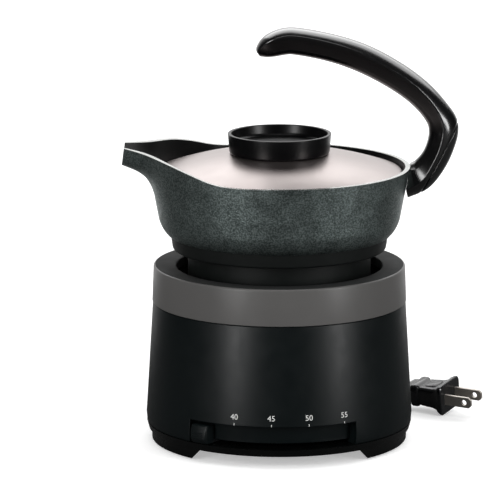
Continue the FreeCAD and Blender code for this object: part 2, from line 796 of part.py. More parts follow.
def make_thermostat():
    body = turned("thermostat_block", [
        (0, THERMOSTAT_TOP),
        (S.thermostat_radius - 1.5, THERMOSTAT_TOP),
        (S.thermostat_radius - 1.5, THERMOSTAT_TOP - 2),
        (S.thermostat_radius, THERMOSTAT_TOP - 2),
        (S.thermostat_radius, THERMOSTAT_LOW),
        (0, THERMOSTAT_LOW),
    ])
    bore = cylinder("thermostat_bore", S.shaft_radius + S.shaft_running_gap,
                    S.thermostat_bore_depth + 1, z=THERMOSTAT_LOW - 1)
    return cut("thermostat", body, bore, thermostat_tab(-1), thermostat_tab(1))


def make_thermostat_tabs():
    return group("thermostat_tabs", [thermostat_tab(-1), thermostat_tab(1)])


def make_thermostat_bracket():
    strap = box("bracket_strap", S.bracket_length, S.bracket_width, S.bracket_sheet, 0, 0,
                THERMOSTAT_TOP)
    holes = [cylinder(f"bracket_hole_{side + 1}", 1.6, S.bracket_sheet + 2,
                      S.bracket_screw_reach * side, 0, THERMOSTAT_TOP - 1)
             for side in (-1, 1)]
    return cut("thermostat_bracket", strap, *holes)


def make_thermostat_screws():
    return group("thermostat_screws", [
        screw(f"bracket_screw_{side + 1}", S.bracket_screw_reach * side, 0,
              THERMOSTAT_TOP - 2.2, THERMOSTAT_TOP, 2.8, CORE_LOW + 3.8, 1.5)
        for side in (-1, 1)])


def fuse_height():
    return CORE_LOW - S.fuse_radius - 0.1


def make_thermal_fuse():
    half = S.fuse_length / 2
    barrel = rod("fuse_barrel", S.fuse_radius, -half, half, "x", -S.fuse_reach, fuse_height())
    leads = rod("fuse_leads", 0.6, -half - 5, half + 5, "x", -S.fuse_reach, fuse_height())
    return fused("thermal_fuse", barrel, leads)


def make_fuse_clip():
    """A strap bent round the fuse, its two ears flat against the hot plate."""
    half = S.clip_width / 2
    inner = S.fuse_radius + 0.1
    outer = inner + S.clip_sheet
    ears = box("clip_ears", S.clip_width, outer * 2 + 7, S.clip_sheet, 0, -S.fuse_reach,
               CORE_LOW - S.clip_sheet)
    drop = box("clip_drop", S.clip_width, outer * 2, S.fuse_radius + 0.1, 0, -S.fuse_reach,
               fuse_height())
    bend = rod("clip_bend", outer, -half, half, "x", -S.fuse_reach, fuse_height())
    strap = fused("clip_strap", ears, drop, bend)
    tunnel = rod("clip_tunnel", inner, -half - 1, half + 1, "x", -S.fuse_reach, fuse_height())
    slot = box("clip_slot", S.clip_width + 2, inner * 2, S.fuse_radius + 2, 0,
               -S.fuse_reach, fuse_height())
    above = box("clip_above", S.clip_width + 2, outer * 2 + 9, 5, 0, -S.fuse_reach, CORE_LOW)
    return cut("fuse_clip", strap, tunnel, slot, above)


# --------------------------------------------------------------------------------------
# Selector: shaft, lever and knob, built facing the front and then turned to OFF
# --------------------------------------------------------------------------------------


def make_selector_shaft():
    low = S.deck_top - S.bearing_depth + 0.3
    high = THERMOSTAT_LOW + S.thermostat_bore_depth - 0.3
    return cylinder("selector_shaft", S.shaft_radius, high - low, z=low)


def lever_arm(name):
    reach = S.recess_radius + 4
    return box(name, S.lever_width, reach, S.lever_sheet, 0, -reach / 2, LEVER_LOW)


def make_selector_lever():
    hub = cylinder("lever_hub", S.hub_radius, S.hub_height, z=LEVER_LOW)
    bore = cylinder("lever_bore", S.shaft_radius, S.hub_height + 2, z=LEVER_LOW - 1)
    lever = cut("selector_lever", fused("lever_solid", hub, lever_arm("lever_arm")), bore)
    return place(lever, turn=S.off_azimuth)


def make_selector_knob():
    """The finger tab that slides in the recess, wider at its foot than at its top."""
    near = -(S.recess_radius + S.knob_tab_gap)
    width = S.knob_tab_width / 2
    tab = padded("knob_tab", "YZ_Plane", [
        (near, LEVER_LOW),
        (near, S.knob_tab_top),
        (-KNOB_TAB_REACH + 1.2, S.knob_tab_top),
        (-KNOB_TAB_REACH, S.knob_tab_top - 4),
        (-KNOB_TAB_REACH, LEVER_LOW + 3),
        (-KNOB_TAB_REACH + 2, LEVER_LOW),
    ], width * 2)
    pad = tab.Tip
    upright = []
    for number, edge in enumerate(pad.Shape.Edges, 1):
        ends = [vertex.Point for vertex in edge.Vertexes]
        if all(abs(point.y + KNOB_TAB_REACH.value) < 0.01 for point in ends):
            if abs(ends[0].x - ends[-1].x) < 0.01:
                upright.append(f"Edge{number}")
    fillet = tab.newObject("PartDesign::Fillet", "knob_tab_round")
    fillet.Base = (pad, upright)
    bind(fillet, "Radius", S.knob_tab_round)
    tab.Tip = fillet
    knob = cut("selector_knob", tab, lever_arm("knob_arm_slot"))
    return place(knob, turn=S.off_azimuth)


# --------------------------------------------------------------------------------------
# Cord entry: gland, clamp, terminal block, inner end of the cord
# --------------------------------------------------------------------------------------


def skin_radius(height):
    """Radius of the housing's outside, between its belly and its seam."""
    share = (height - S.belly_height) / (S.seam_height - S.belly_height)
    return S.belly_radius + (S.seam_radius - S.belly_radius) * share


def skin_at_gland():
    """The housing's outside at the heights that matter where the gland passes through."""
    return sorted([S.plate_radius, S.belly_radius, skin_radius(S.gland_height + S.gland_flange)],
                  key=lambda size: size.value)


def gland_outer_face():
    return skin_at_gland()[-1] + 0.1


def gland_tail_end():
    return gland_outer_face() + S.gland_flange_sheet + S.gland_tail


def gland_inner_end():
    return skin_at_gland()[0] - S.housing_wall - 2


def make_cord_gland():
    """A rubber bush in the back wall with a tapered tail that the cord leaves through."""
    inner = gland_inner_end()
    face = gland_outer_face()
    body = turned("cord_gland", [
        (0, inner),
        (S.gland_flange - 1, inner),
        (S.gland_flange - 1, inner + 2),
        (S.gland_hole - 0.1, inner + 2),
        (S.gland_hole - 0.1, face),
        (S.gland_flange, face),
        (S.gland_flange, face + S.gland_flange_sheet),
        (S.gland_hole, face + S.gland_flange_sheet + 0.4),
        (S.gland_tail_tip, gland_tail_end()),
        (0, gland_tail_end()),
    ])
    bind(body, "Placement.Base.z", S.gland_height)
    body.Placement = Placement(Vector(0, 0, S.gland_height.value),
                               Rotation(Vector(1, 0, 0), -90))
    return body


def make_cord_inner_end():
    return rod("cord_inner_end", S.cord_radius, S.block_near + S.block_depth,
               gland_inner_end(), "y", 0, S.gland_height)


def make_cord_clamp():
    middle = S.clamp_near + S.clamp_depth / 2
    saddle = box("clamp_saddle", S.clamp_width, S.clamp_depth, S.clamp_top - S.deck_top, 0,
                 middle, S.deck_top)
    tunnel = rod("clamp_tunnel", S.cord_radius, S.clamp_near - 1,
                 S.clamp_near + S.clamp_depth + 1, "y", 0, S.gland_height)
    holes = [cylinder(f"clamp_hole_{side + 1}", 1.4, S.clamp_top, S.clamp_screw_reach * side,
                      middle, S.deck_top - 1) for side in (-1, 1)]
    return cut("cord_clamp", saddle, tunnel, *holes)


def make_clamp_plate_screws():
    middle = S.clamp_near + S.clamp_depth / 2
    return group("cord_clamp_screws", [
        screw(f"cord_clamp_screw_{side + 1}", S.clamp_screw_reach * side, middle,
              S.clamp_top, S.clamp_top + 2, 2.6, DECK_LOW, 1.4) for side in (-1, 1)])


def make_terminal_block():
    middle = S.block_near + S.block_depth / 2
    block = box("block_solid", S.block_width, S.block_depth, S.block_height, 0, middle,
                S.deck_top)
    pits = [cylinder(f"block_pit_{side + 1}", 2.6, 5, S.block_width / 4 * side, middle,
                     S.deck_top + S.block_height - 4) for side in (-1, 1)]
    return cut("terminal_block", block, *pits)


def make_terminal_screws():
    middle = S.block_near + S.block_depth / 2
    return group("terminal_screws", [
        cylinder(f"terminal_screw_{side + 1}", 2.5, 2.6, S.block_width / 4 * side, middle,
                 S.deck_top + S.block_height - 4) for side in (-1, 1)])


# --------------------------------------------------------------------------------------
# Pot
# --------------------------------------------------------------------------------------

# The keel of the spout: height above the rim, and how far the spout's plan reaches beyond
# the round wall at that height.
SPOUT_KEEL = [(-15.5, 0.0), (-11.6, 0.8), (-8.7, 1.9), (-6.4, 3.3), (-4.1, 5.8), (-2.0, 9.4),
              (-0.6, 12.9), (0.8, 16.2), (2.8, 19.5), (6.0, 21.0), (14.0, 21.5)]
# The rim, seen from the side: distance beyond the rim's radius and rise above its flat part.
RIM_RISE = [(-45.0, 0.0), (-34.6, 1.5), (-24.0, 4.8), (-12.0, 8.1), (0.0, 10.1), (18.0, 12.0)]
SPOUT_SPREAD = 10.7        # degrees over which the beak falls back to the round wall
SPOUT_BORE_SPREAD = 8.8    # the same for the channel inside
SPOUT_POWER = 1.36
PLAN_ANGLES = [180, 150, 120, 95, 72, 52, 38, 28, 21, 16, 12, 8.5, 5.5, 2.8, 0]
BOWL_HEIGHTS = [-41.8, -38.5, -36.6, -34.2, -31.4, -28.0, -22.0, -15.5, -11.6, -8.4, -6.0, -4.0,
                -2.2, -0.6, 0.8, 2.8, 5.0, 7.6, 10.6, 14.0]


def bowl_radius(height, inset):
    """Radius of the bowl's wall, or of a surface that lies inset within it."""
    lean = math.radians(S.bowl_lean.value)
    bend_height = S.bowl_bend_height.value
    rise = S.rim_height.value - bend_height
    at_bend = S.rim_radius.value - rise * math.tan(lean)
    if height >= bend_height:
        return at_bend + (height - bend_height) * math.tan(lean) - inset / math.cos(lean)
    # The arc below touches the taper and ends just outside the top of the skirt.
    across = at_bend - (S.skirt_top_radius + S.bowl_step).value
    down = bend_height - S.skirt_top.value
    bend = (across**2 + down**2) / (2 * (across * math.cos(lean) - down * math.sin(lean)))
    centre = at_bend - bend * math.cos(lean)
    middle = bend_height + bend * math.sin(lean)
    # Below the arc's foot, as the shell's inside can lie, the surface drops straight down.
    reach = math.sqrt(max((bend - inset) ** 2 - (middle - height) ** 2, 0))
    return centre + math.copysign(reach, bend)


def beyond_wall(rise):
    """How far the beak reaches beyond the round wall, at a height above the rim."""
    if rise <= SPOUT_KEEL[0][0]:
        return 0.0
    for (low, near), (high, far) in zip(SPOUT_KEEL, SPOUT_KEEL[1:]):
        if rise <= high:
            return near + (far - near) * (rise - low) / (high - low)
    return SPOUT_KEEL[-1][1]


def bowl_section(height, inset):
    """The plan of the bowl at one height: a circle drawn out to a beak towards -X."""
    rise = height - S.rim_height.value
    radius = bowl_radius(height, inset)
    outer = bowl_radius(height, 0)
    spread = SPOUT_SPREAD if inset == 0 else SPOUT_BORE_SPREAD
    floor = 0.0 if inset == 0 else S.spout_floor.value
    reach = outer + beyond_wall(rise - floor) - radius if inset else beyond_wall(rise)
    reach = reach if beyond_wall(rise - floor) > 0 else 0.0
    angles = PLAN_ANGLES + [-angle for angle in reversed(PLAN_ANGLES[1:-1])]
    points = []
    for angle in angles:
        swell = math.exp(-((abs(angle) / spread) ** SPOUT_POWER))
        distance = radius + reach * swell
        turn = math.radians(angle)
        points.append(Vector(-distance * math.cos(turn), distance * math.sin(turn), height))
    curve = Part.BSplineCurve()
    curve.interpolate(Points=points, PeriodicFlag=True)
    return Part.Wire(curve.toShape())


def bowl_solid(inset, lowest):
    heights = [lowest] + [S.rim_height.value + rise for rise in BOWL_HEIGHTS
                          if S.rim_height.value + rise > lowest + 1]
    return Part.makeLoft([bowl_section(height, inset) for height in heights], True, False)


def above_rim():
    """Everything above the rim, whose line climbs towards the spout."""
    rim = S.rim_height.value
    line = [Vector(-(S.rim_radius.value + beyond), 0, rim + rise) for beyond, rise in RIM_RISE]
    curve = Part.BSplineCurve()
    curve.interpolate(Points=line, InitialTangent=Vector(-1, 0, 0),
                      FinalTangent=Vector(-1, 0, 0.15))
    far = 2 * S.rim_radius.value
    start, end = line[0], line[-1]
    corners = [end, Vector(-far, 0, end.z), Vector(-far, 0, rim + far),
               Vector(far, 0, rim + far), Vector(far, 0, rim), start]
    edges = [curve.toShape()]
    edges += [Part.makeLine(a, b) for a, b in zip(corners, corners[1:])]
    face = Part.Face(Part.Wire(edges))
    face.translate(Vector(0, -far, 0))
    return face.extrude(Vector(0, 2 * far, 0))


def beyond_tip():
    """Everything in front of the slanted end of the spout."""
    rim = S.rim_height.value
    low = Vector(-SPOUT_TIP.value, 0, rim + 0.7)
    high = Vector(-(SPOUT_TIP - S.spout_tip_setback).value, 0, rim + 11.6)
    slope = high - low
    bottom = low - slope * 3
    top = high + slope * 3
    far = 2 * S.rim_radius.value
    face = Part.makePolygon([bottom, top, Vector(-far, 0, top.z), Vector(-far, 0, bottom.z),
                             bottom])
    face = Part.Face(face)
    face.translate(Vector(0, -far, 0))
    return face.extrude(Vector(0, 2 * far, 0))


def make_pot_shell():
    """The cast pot: bowl with drawn spout, skirt, foot, lid ledge and handle lug."""
    skirt = turned("pot_skirt", [
        (0, PLATE_TOP),
        (S.pot_foot_radius, PLATE_TOP),
        (S.pot_foot_radius, S.skirt_low),
        (S.skirt_low_radius, S.skirt_low),
        (S.skirt_top_radius, S.skirt_top),
        (0, S.skirt_top),
    ], rounds=[
        (S.pot_foot_radius, PLATE_TOP, as_size(1.5)),
        (S.skirt_low_radius, S.skirt_low, S.skirt_round),
    ])
    bore_floor = PLATE_TOP + S.pot_floor
    bore_radius = S.pot_foot_radius - S.pot_wall - 0.4
    bore_top = S.skirt_top + 0.3
    foot_bore = turned("pot_foot_bore", [
        (0, bore_floor),
        (bore_radius, bore_floor),
        (bore_radius, S.skirt_low + 1.2),
        (bore_radius + 4.4, S.skirt_low + 3.4),
        (S.skirt_top_radius - 4.2, S.skirt_top - 1.2),
        (S.skirt_top_radius - 4.2, bore_top),
        (0, bore_top),
    ], rounds=[(bore_radius, bore_floor, as_size(4.0))])
    form = made("pot_bowl_form", bowl_solid(0, S.skirt_top.value))
    shortened = cut("pot_bowl_shortened", form, made("beyond_tip", beyond_tip()))
    bowl = cut("pot_bowl", shortened, made("above_rim", above_rim()))
    bowl_bore = made("pot_bowl_bore", bowl_solid(S.pot_wall.value, bore_top.value - 1.5))
    lug_start = S.rim_radius - S.lug_root
    lug = box("handle_lug", LUG_REACH - lug_start, S.lug_width, S.lug_height,
              (LUG_REACH + lug_start) / 2, 0, LUG_MIDDLE - S.lug_height / 2)
    outside = fused("pot_outside", skirt, bowl, lug)
    hollow = cut("pot_hollow", outside, fused("pot_bore", foot_bore, bowl_bore))
    ledge = turned("lid_ledge_ring", [
        (LEDGE_RADIUS, LEDGE_TOP),
        (S.rim_radius - S.pot_wall + 0.6, LEDGE_TOP),
        (S.rim_radius - S.pot_wall, LEDGE_TOP - S.ledge_height),
        (S.rim_radius - S.pot_wall - 0.4, LEDGE_TOP - S.ledge_height),
        (LEDGE_RADIUS, LEDGE_TOP - 1.4),
    ])
    free = cylinder("ledge_free", S.rim_radius, S.ledge_height + 4,
                    z=LEDGE_TOP - S.ledge_height - 2, sweep=S.ledge_opening,
                    turn=180 - S.ledge_opening / 2)
    solid = fused("pot_solid", hollow, cut("lid_ledge", ledge, free))
    threads = [rod(f"lug_thread_{side + 1}", S.handle_screw_radius, HANDLE_SCREW_TIP,
                   LUG_REACH + 2, "x", 0, handle_screw_height(side)) for side in (-1, 1)]
    return cut("pot_shell", solid, *threads)


# --------------------------------------------------------------------------------------
# Handle
# --------------------------------------------------------------------------------------

# Spine of the handle, from its free tip to the pot, at a span of 105.1 and a rise of 71.4:
# x beyond the rim's radius, z above the rim, depth of the section where the middle is 15.8
# deep, share of the full width, and height of the crown.
HANDLE_DRAWN = (105.1, 71.4, 15.8)
HANDLE_STATIONS = [
    (-86.3, 64.7, 5.0, 0.42, 1.4),
    (-83.8, 66.2, 9.6, 0.66, 2.2),
    (-79.4, 68.5, 13.3, 0.88, 2.9),
    (-73.5, 70.6, 14.9, 0.96, 3.3),
    (-66.8, 71.4, 15.3, 1.0, 3.4),
    (-45.4, 67.5, 15.6, 1.0, 3.8),
    (-27.1, 61.4, 16.1, 1.0, 4.6),
    (-8.8, 51.7, 15.8, 1.0, 5.0),
    (5.0, 41.6, 15.4, 1.0, 5.4),
    (14.7, 30.8, 15.6, 1.0, 6.6),
    (18.8, 22.6, 17.3, 1.0, 9.2),
    (17.1, 11.6, 15.9, 1.0, 8.8),
    (12.6, 2.0, 15.8, 1.0, 8.4),
    (5.2, -5.9, 17.8, 0.96, 7.0),
    (-3.5, -8.4, 20.4, 0.92, 6.0),
]


def handle_screw_height(side):
    return LUG_MIDDLE + S.handle_screw_pitch / 2 * side


def handle_section(spot, along, depth, share, crown):
    """A wedge with a crowned outer face and a rounded keel, square to the spine."""
    out = Vector(-along.z, 0, along.x)
    half = S.handle_width.value / 2 * share
    keel = S.handle_keel.value / 2 * share
    side = Vector(0, 1, 0)
    edge_level = depth / 2 - crown
    keel_level = keel * 0.5 - depth / 2
    left_edge = spot + out * edge_level - side * half
    right_edge = spot + out * edge_level + side * half
    right_keel = spot + out * keel_level + side * keel
    left_keel = spot + out * keel_level - side * keel
    crest = Part.Arc(left_edge, spot + out * (depth / 2), right_edge).toShape()
    belly = Part.Arc(right_keel, spot - out * (depth / 2), left_keel).toShape()
    return Part.Wire([crest, Part.makeLine(right_edge, right_keel), belly,
                      Part.makeLine(left_keel, left_edge)])


def handle_loft():
    rim = Vector(S.rim_radius.value, 0, S.rim_height.value)
    span = S.handle_span.value / HANDLE_DRAWN[0]
    rise = S.handle_rise.value / HANDLE_DRAWN[1]
    thick = S.handle_depth.value / HANDLE_DRAWN[2]
    spots = [rim + Vector(x * span, 0, z * rise) for x, z, _, _, _ in HANDLE_STATIONS]
    wires = []
    for number, (_, _, depth, share, crown) in enumerate(HANDLE_STATIONS):
        before = spots[max(number - 1, 0)]
        after = spots[min(number + 1, len(spots) - 1)]
        along = (after - before).normalize()
        wires.append(handle_section(spots[number], along, depth * thick, share, crown * thick))
    return Part.makeLoft(wires, True, False)


def beyond_cap_seam():
    """The half of space outside the straight seam between grip and cap."""
    high = Vector(CAP_SEAM_TOP.value, 0, (S.rim_height + S.cap_seam_top_rise).value)
    low = Vector(CAP_SEAM_LOW.value, 0, (S.rim_height - S.cap_seam_low_drop).value)
    slope = high - low
    bottom = low - slope * 0.6
    top = high + slope * 0.6
    far = 2 * high.x
    face = Part.Face(Part.makePolygon([bottom, Vector(far, 0, bottom.z),
                                       Vector(far, 0, top.z), top, bottom]))
    half = 2 * S.handle_width.value
    face.translate(Vector(0, -half, 0))
    return face.extrude(Vector(0, 2 * half, 0))


def make_handle(pot_outside):
    """The moulded grip and the cap that covers its screws, cut from one swept form."""
    whole = made("handle_form", handle_loft())
    outside = made("cap_side", beyond_cap_seam())
    keep_out = made("handle_keep_out", pot_keep_out())
    room = S.lug_proud + S.rim_radius / 4
    lug_room = box("lug_room", room, S.lug_width + 0.2, S.lug_height + 0.2,
                   LUG_REACH + 0.1 - room / 2, 0, LUG_MIDDLE - S.lug_height / 2 - 0.1)
    holes = []
    for side in (-1, 1):
        height = handle_screw_height(side)
        holes.append(rod(f"grip_hole_{side + 1}", S.handle_screw_radius + 0.1,
                         S.rim_radius - S.pot_wall * 2, CAP_SEAM_TOP, "x", 0, height))
        holes.append(rod(f"grip_sink_{side + 1}", S.handle_screw_head + 0.2,
                         HANDLE_SCREW_SEAT, CAP_SEAM_TOP, "x", 0, height))
    grip = cut("handle_grip", whole, outside, keep_out, lug_room, *holes)
    cap = cut("handle_cap", common("cap_form", whole, outside),
              made("cap_keep_out", pot_keep_out()))
    return grip, cap


def pot_keep_out():
    """The bowl's outside with a hair's breadth round it, as far as the handle is near."""
    lug = S.lug_height.value
    heights = [S.rim_height.value - lug * share for share in (2.0, 1.5, 0.9, 0.45, 0.0)]
    gap = S.handle_seat_gap.value
    profile = [Vector(0, 0, heights[0])]
    profile += [Vector(bowl_radius(height, 0) + gap, 0, height) for height in heights]
    top = heights[-1] + lug * 1.5
    profile += [Vector(profile[-1].x, 0, top), Vector(0, 0, top), Vector(0, 0, heights[0])]
    face = Part.Face(Part.makePolygon(profile))
    return face.revolve(Vector(0, 0, 0), Vector(0, 0, 1), 360)


def make_handle_screws():
    screws = []
    for side in (-1, 1):
        height = handle_screw_height(side)
        shank = rod(f"handle_shank_{side + 1}", S.handle_screw_radius,
                    HANDLE_SCREW_TIP, HANDLE_SCREW_SEAT, "x", 0, height)
        head = rod(f"handle_head_{side + 1}", S.handle_screw_head, HANDLE_SCREW_SEAT,
                   HANDLE_SCREW_SEAT + S.handle_screw_head_height, "x", 0, height)
        screws.append(fused(f"handle_screw_{side + 1}", shank, head))
    return group("handle_screws", screws)


# --------------------------------------------------------------------------------------
# Lid
# --------------------------------------------------------------------------------------


def make_lid_dome():
    """A thin spherical cap with a short edge turned down onto the pot's ledge."""
    outer = ball("dome_outer", S.dome_radius, DOME_CENTRE)
    disc = cylinder("dome_disc", LID_RADIUS, 20, z=LID_EDGE_LOW)
    inner = ball("dome_inner", S.dome_radius - S.lid_sheet, DOME_CENTRE)
    core = cylinder("dome_core", LID_RADIUS - S.lid_sheet, 30, z=LID_EDGE_LOW - 5)
    inside = common("dome_inside", inner, core)
    hole = cylinder("dome_hole", S.knob_screw_radius + 0.2, 20, z=DOME_TOP - 10)
    return cut("lid_dome", common("dome_cap", outer, disc), inside, hole)


def make_lid_ring():
    """The locating ring under the dome that keeps the lid centred in the pot."""
    low = LEDGE_TOP - S.locating_height
    ring = turned("locating_ring", [
        (LOCATING_RADIUS - S.locating_wall, low),
        (LOCATING_RADIUS - 0.5, low),
        (LOCATING_RADIUS, low + 1),
        (LOCATING_RADIUS, LEDGE_TOP + 12),
        (LOCATING_RADIUS - S.locating_wall, LEDGE_TOP + 12),
    ])
    under = ball("ring_under_dome", S.dome_radius - S.lid_sheet, DOME_CENTRE)
    return common("lid_ring", ring, under)


def make_lid_knob():
    """An open cup on a foot that follows the dome."""
    seat = math.sqrt(S.dome_radius.value**2 - S.knob_low_radius.value**2)
    foot = DOME_CENTRE + seat - 0.1
    floor = DOME_TOP + S.knob_floor
    cup = turned("knob_cup", [
        (0, foot),
        (S.knob_low_radius, foot),
        (S.knob_top_radius, KNOB_TOP),
        (S.knob_top_radius - S.knob_wall, KNOB_TOP),
        (S.knob_low_radius - S.knob_wall, floor),
        (0, floor),
    ], rounds=[
        (S.knob_low_radius, foot, S.knob_foot_round),
        (S.knob_low_radius - S.knob_wall, floor, as_size(2.5)),
        (S.knob_top_radius, KNOB_TOP, as_size(0.6)),
        (S.knob_top_radius - S.knob_wall, KNOB_TOP, as_size(0.6)),
    ])
    dome = ball("knob_seat_dome", S.dome_radius, DOME_CENTRE)
    thread = cylinder("knob_thread", S.knob_screw_radius, S.knob_floor - 1 + 5, z=DOME_TOP - 5)
    return cut("lid_knob", cup, dome, thread)


def washer_top():
    return DOME_TOP - S.lid_sheet - 0.15


def make_knob_washer():
    disc = cylinder("washer_disc", S.washer_radius, S.washer_sheet,
                    z=washer_top() - S.washer_sheet)
    hole = cylinder("washer_hole", S.knob_screw_radius + 0.1, S.washer_sheet + 2,
                    z=washer_top() - S.washer_sheet - 1)
    return cut("knob_washer", disc, hole)


def make_knob_screw():
    head_high = washer_top() - S.washer_sheet
    return screw("knob_screw", 0, 0, head_high - 2.4, head_high, S.knob_screw_head,
                 DOME_TOP + S.knob_floor - 1.2, S.knob_screw_radius)


# --------------------------------------------------------------------------------------
# Cord and plug
# --------------------------------------------------------------------------------------

COIL_CENTRE = Vector(4, 158, 9)
COIL_RADIUS = 31.0
COIL_THICKNESS = 9.0
# From the gland to the coil, and from the coil to the plug, resting on the table between.
ROUTE_OUT = [(0, 111.5, 19), (-4.5, 124, 18.4), (-13.5, 136, 17), (-20, 148.5, 14.8)]
ROUTE_IN = [(36, 160, 5), (34.6, 146, 4), (34.2, 132.5, 3.3), (35.4, 119, 3.5),
            (38.4, 105.5, 4.2), (44, 93.6, 5.8), (52.1, 84.1, 8)]
PLUG_TAIL = Vector(62, 77.4, 10.6)
PLUG_LENGTH = 46.0


def tube_along(points, radius):
    """A tube of straight runs joined by tangent arcs, and the arcs' radii."""
    edges = []
    radii = []
    at = points[0]
    for before, corner, after in zip(points, points[1:], points[2:]):
        back = (before - corner).normalize()
        ahead = (after - corner).normalize()
        half_turn = (math.pi - back.getAngle(ahead)) / 2
        shorter = min((before - corner).Length, (after - corner).Length)
        leg = 0.45 * shorter
        bend = leg / math.tan(half_turn)
        start = corner + back * leg
        end = corner + ahead * leg
        centre = corner + (back + ahead).normalize() * (bend / math.cos(half_turn))
        middle = centre + (corner - centre).normalize() * bend
        edges.append(Part.makeLine(at, start))
        edges.append(Part.Arc(start, middle, end).toShape())
        radii.append(bend)
        at = end
    edges.append(Part.makeLine(at, points[-1]))
    path = Part.Wire(edges)
    ring = Part.makeCircle(radius, points[0], points[1] - points[0])
    tube = path.makePipeShell([Part.Wire(ring)], True, False)
    return tube, path.Length, radii


def make_cord():
    """The free cord in two stretches: gland to coil, and coil to plug."""
    start = Vector(0, gland_tail_end().value, S.gland_height.value)
    tubes = []
    routes = [[start] + [Vector(*point) for point in ROUTE_OUT],
              [Vector(*point) for point in ROUTE_IN] + [PLUG_TAIL]]
    for route in routes:
        tube, length, radii = tube_along(route, S.cord_radius.value)
        section = math.pi * S.cord_radius.value ** 2 * length
        print("cord arc radii", [round(radius, 1) for radius in radii],
              "length", round(length, 1), "volume ratio", round(tube.Volume / section, 4))
        tubes.append(tube)
    return made("cord", Part.makeCompound(tubes))


def make_cord_coil():
    coil = DOC.addObject("Part::Torus", "cord_coil")
    coil.Radius1 = COIL_RADIUS
    coil.Radius2 = COIL_THICKNESS
    return place(coil, COIL_CENTRE.x, COIL_CENTRE.y, COIL_CENTRE.z)


def rounded_rectangle(x, half_y, half_z, corner):
    """A rounded rectangle square to the plug's axis."""
    flat_y = half_y - corner
    flat_z = half_z - corner
    diagonal = corner * math.sqrt(0.5)
    edges = []
    for turn_y, turn_z in ((1, 1), (-1, 1), (-1, -1), (1, -1)):
        centre = Vector(x, flat_y * turn_y, flat_z * turn_z)
        on_side = centre + Vector(0, corner * turn_y, 0)
        on_top = centre + Vector(0, 0, corner * turn_z)
        middle = centre + Vector(0, diagonal * turn_y, diagonal * turn_z)
        first, last = (on_side, on_top) if turn_y == turn_z else (on_top, on_side)
        if edges:
            edges.append(Part.makeLine(edges[-1].lastVertex(True).Point, first))
        edges.append(Part.Arc(first, middle, last).toShape())
    edges.append(Part.makeLine(edges[-1].lastVertex(True).Point,
                               edges[0].firstVertex(True).Point))
    return Part.Wire(edges)


def plug_placement():
    roll = Rotation(Vector(1, 0, 0), S.plug_roll.value)
    yaw = Rotation(Vector(0, 0, 1), S.plug_yaw.value)
    along = yaw.multVec(Vector(1, 0, 0))
    return Placement(PLUG_TAIL + along * PLUG_LENGTH, yaw * roll)


def blade(side):
    """One flat blade with a round hole and a chamfered nose."""
    sheet = S.blade_sheet.value
    half = S.blade_width.value / 2
    tip = S.blade_length.value
    root = -S.blade_root.value
    nose = 1.6
    middle = S.blade_pitch.value / 2 * side
    outline = [Vector(root, 0, -half), Vector(tip - nose, 0, -half), Vector(tip, 0, nose - half),
               Vector(tip, 0, half - nose), Vector(tip - nose, 0, half),
               Vector(root, 0, half), Vector(root, 0, -half)]
    face = Part.Face(Part.makePolygon(outline))
    face.translate(Vector(0, middle - sheet / 2, 0))
    solid = face.extrude(Vector(0, sheet, 0))
    hole = Part.makeCylinder(S.blade_hole.value, sheet + 2,
                             Vector(tip - 4.6, middle - sheet / 2 - 1, 0), Vector(0, 1, 0))
    return solid.cut(hole)


def make_plug():
    """The moulded plug and its two blades, lying on the table beside the base."""
    flange = -S.plug_flange_sheet.value
    half_y = S.plug_flange_width.value / 2
    half_z = S.plug_flange_height.value / 2
    stations = [(-PLUG_LENGTH, 3.9, 3.9, 3.8), (-28.0, 4.6, 4.6, 4.5), (-26.0, 7.4, 5.6, 2.4),
                (-8.0, 9.0, 6.2, 2.2), (flange - 1.5, 9.6, 6.8, 2.2)]
    grip = Part.makeLoft([rounded_rectangle(*station) for station in stations], True, True)
    flare = Part.makeLoft([rounded_rectangle(flange - 1.5, 9.6, 6.8, 2.2),
                           rounded_rectangle(flange, half_y - 1, half_z - 1, 2.6),
                           rounded_rectangle(0, half_y, half_z, 2.8)], True, True)
    blades = [blade(-1), blade(1)]
    body = grip.fuse(flare).removeSplitter()
    for solid in blades:
        body = body.cut(solid)
    plug_body = made("plug_body", body, plug_placement())
    plug_blades = made("plug_blades", Part.makeCompound(blades), plug_placement())
    return plug_body, plug_blades


# --------------------------------------------------------------------------------------
# The whole warmer
# --------------------------------------------------------------------------------------


def make_all():
    pot = make_pot_shell()
    return [
        make_base_plate(), make_foot_pads(), make_base_screws(), make_housing(),
        make_trim_ring(), make_well_liner(), make_liner_screws(), make_plate_seal(),
        make_hot_plate(), make_clamp_screws(), make_heat_shield(), make_heating_element(),
        make_thermostat(), make_thermostat_tabs(), make_thermostat_bracket(),
        make_thermostat_screws(), make_thermal_fuse(), make_fuse_clip(),
        make_selector_shaft(), make_selector_lever(), make_selector_knob(),
        make_cord_gland(), make_cord_inner_end(), make_cord_clamp(),
        make_clamp_plate_screws(), make_terminal_block(), make_terminal_screws(),
        pot, *make_handle(pot), make_handle_screws(),
        make_lid_dome(), make_lid_ring(), make_lid_knob(), make_knob_washer(),
        make_knob_screw(), make_cord(), make_cord_coil(), *make_plug(),
    ]


def check_document():
    """Stops before anything is written if an object failed or a shape isn't sound."""
    faults = [item.Label for item in DOC.Objects
              if "Invalid" in item.State or "Error" in item.State]
    if faults:
        raise RuntimeError(f"objects failed: {faults}")


def write_nodes(nodes):
    os.makedirs("parts", exist_ok=True)
    for node in nodes:
        if node.Shape.isNull() or not node.Shape.isValid():
            raise RuntimeError(f"{node.Label} has no valid shape")
    for node in nodes:
        node.Shape.exportStep(f"parts/{node.Label}.step")
        print(f"{node.Label}: {len(node.Shape.Solids)} solids, {node.Shape.Volume:.0f} mm3")


NODES = make_all()
DOC.recompute()
check_document()
write_nodes(NODES)
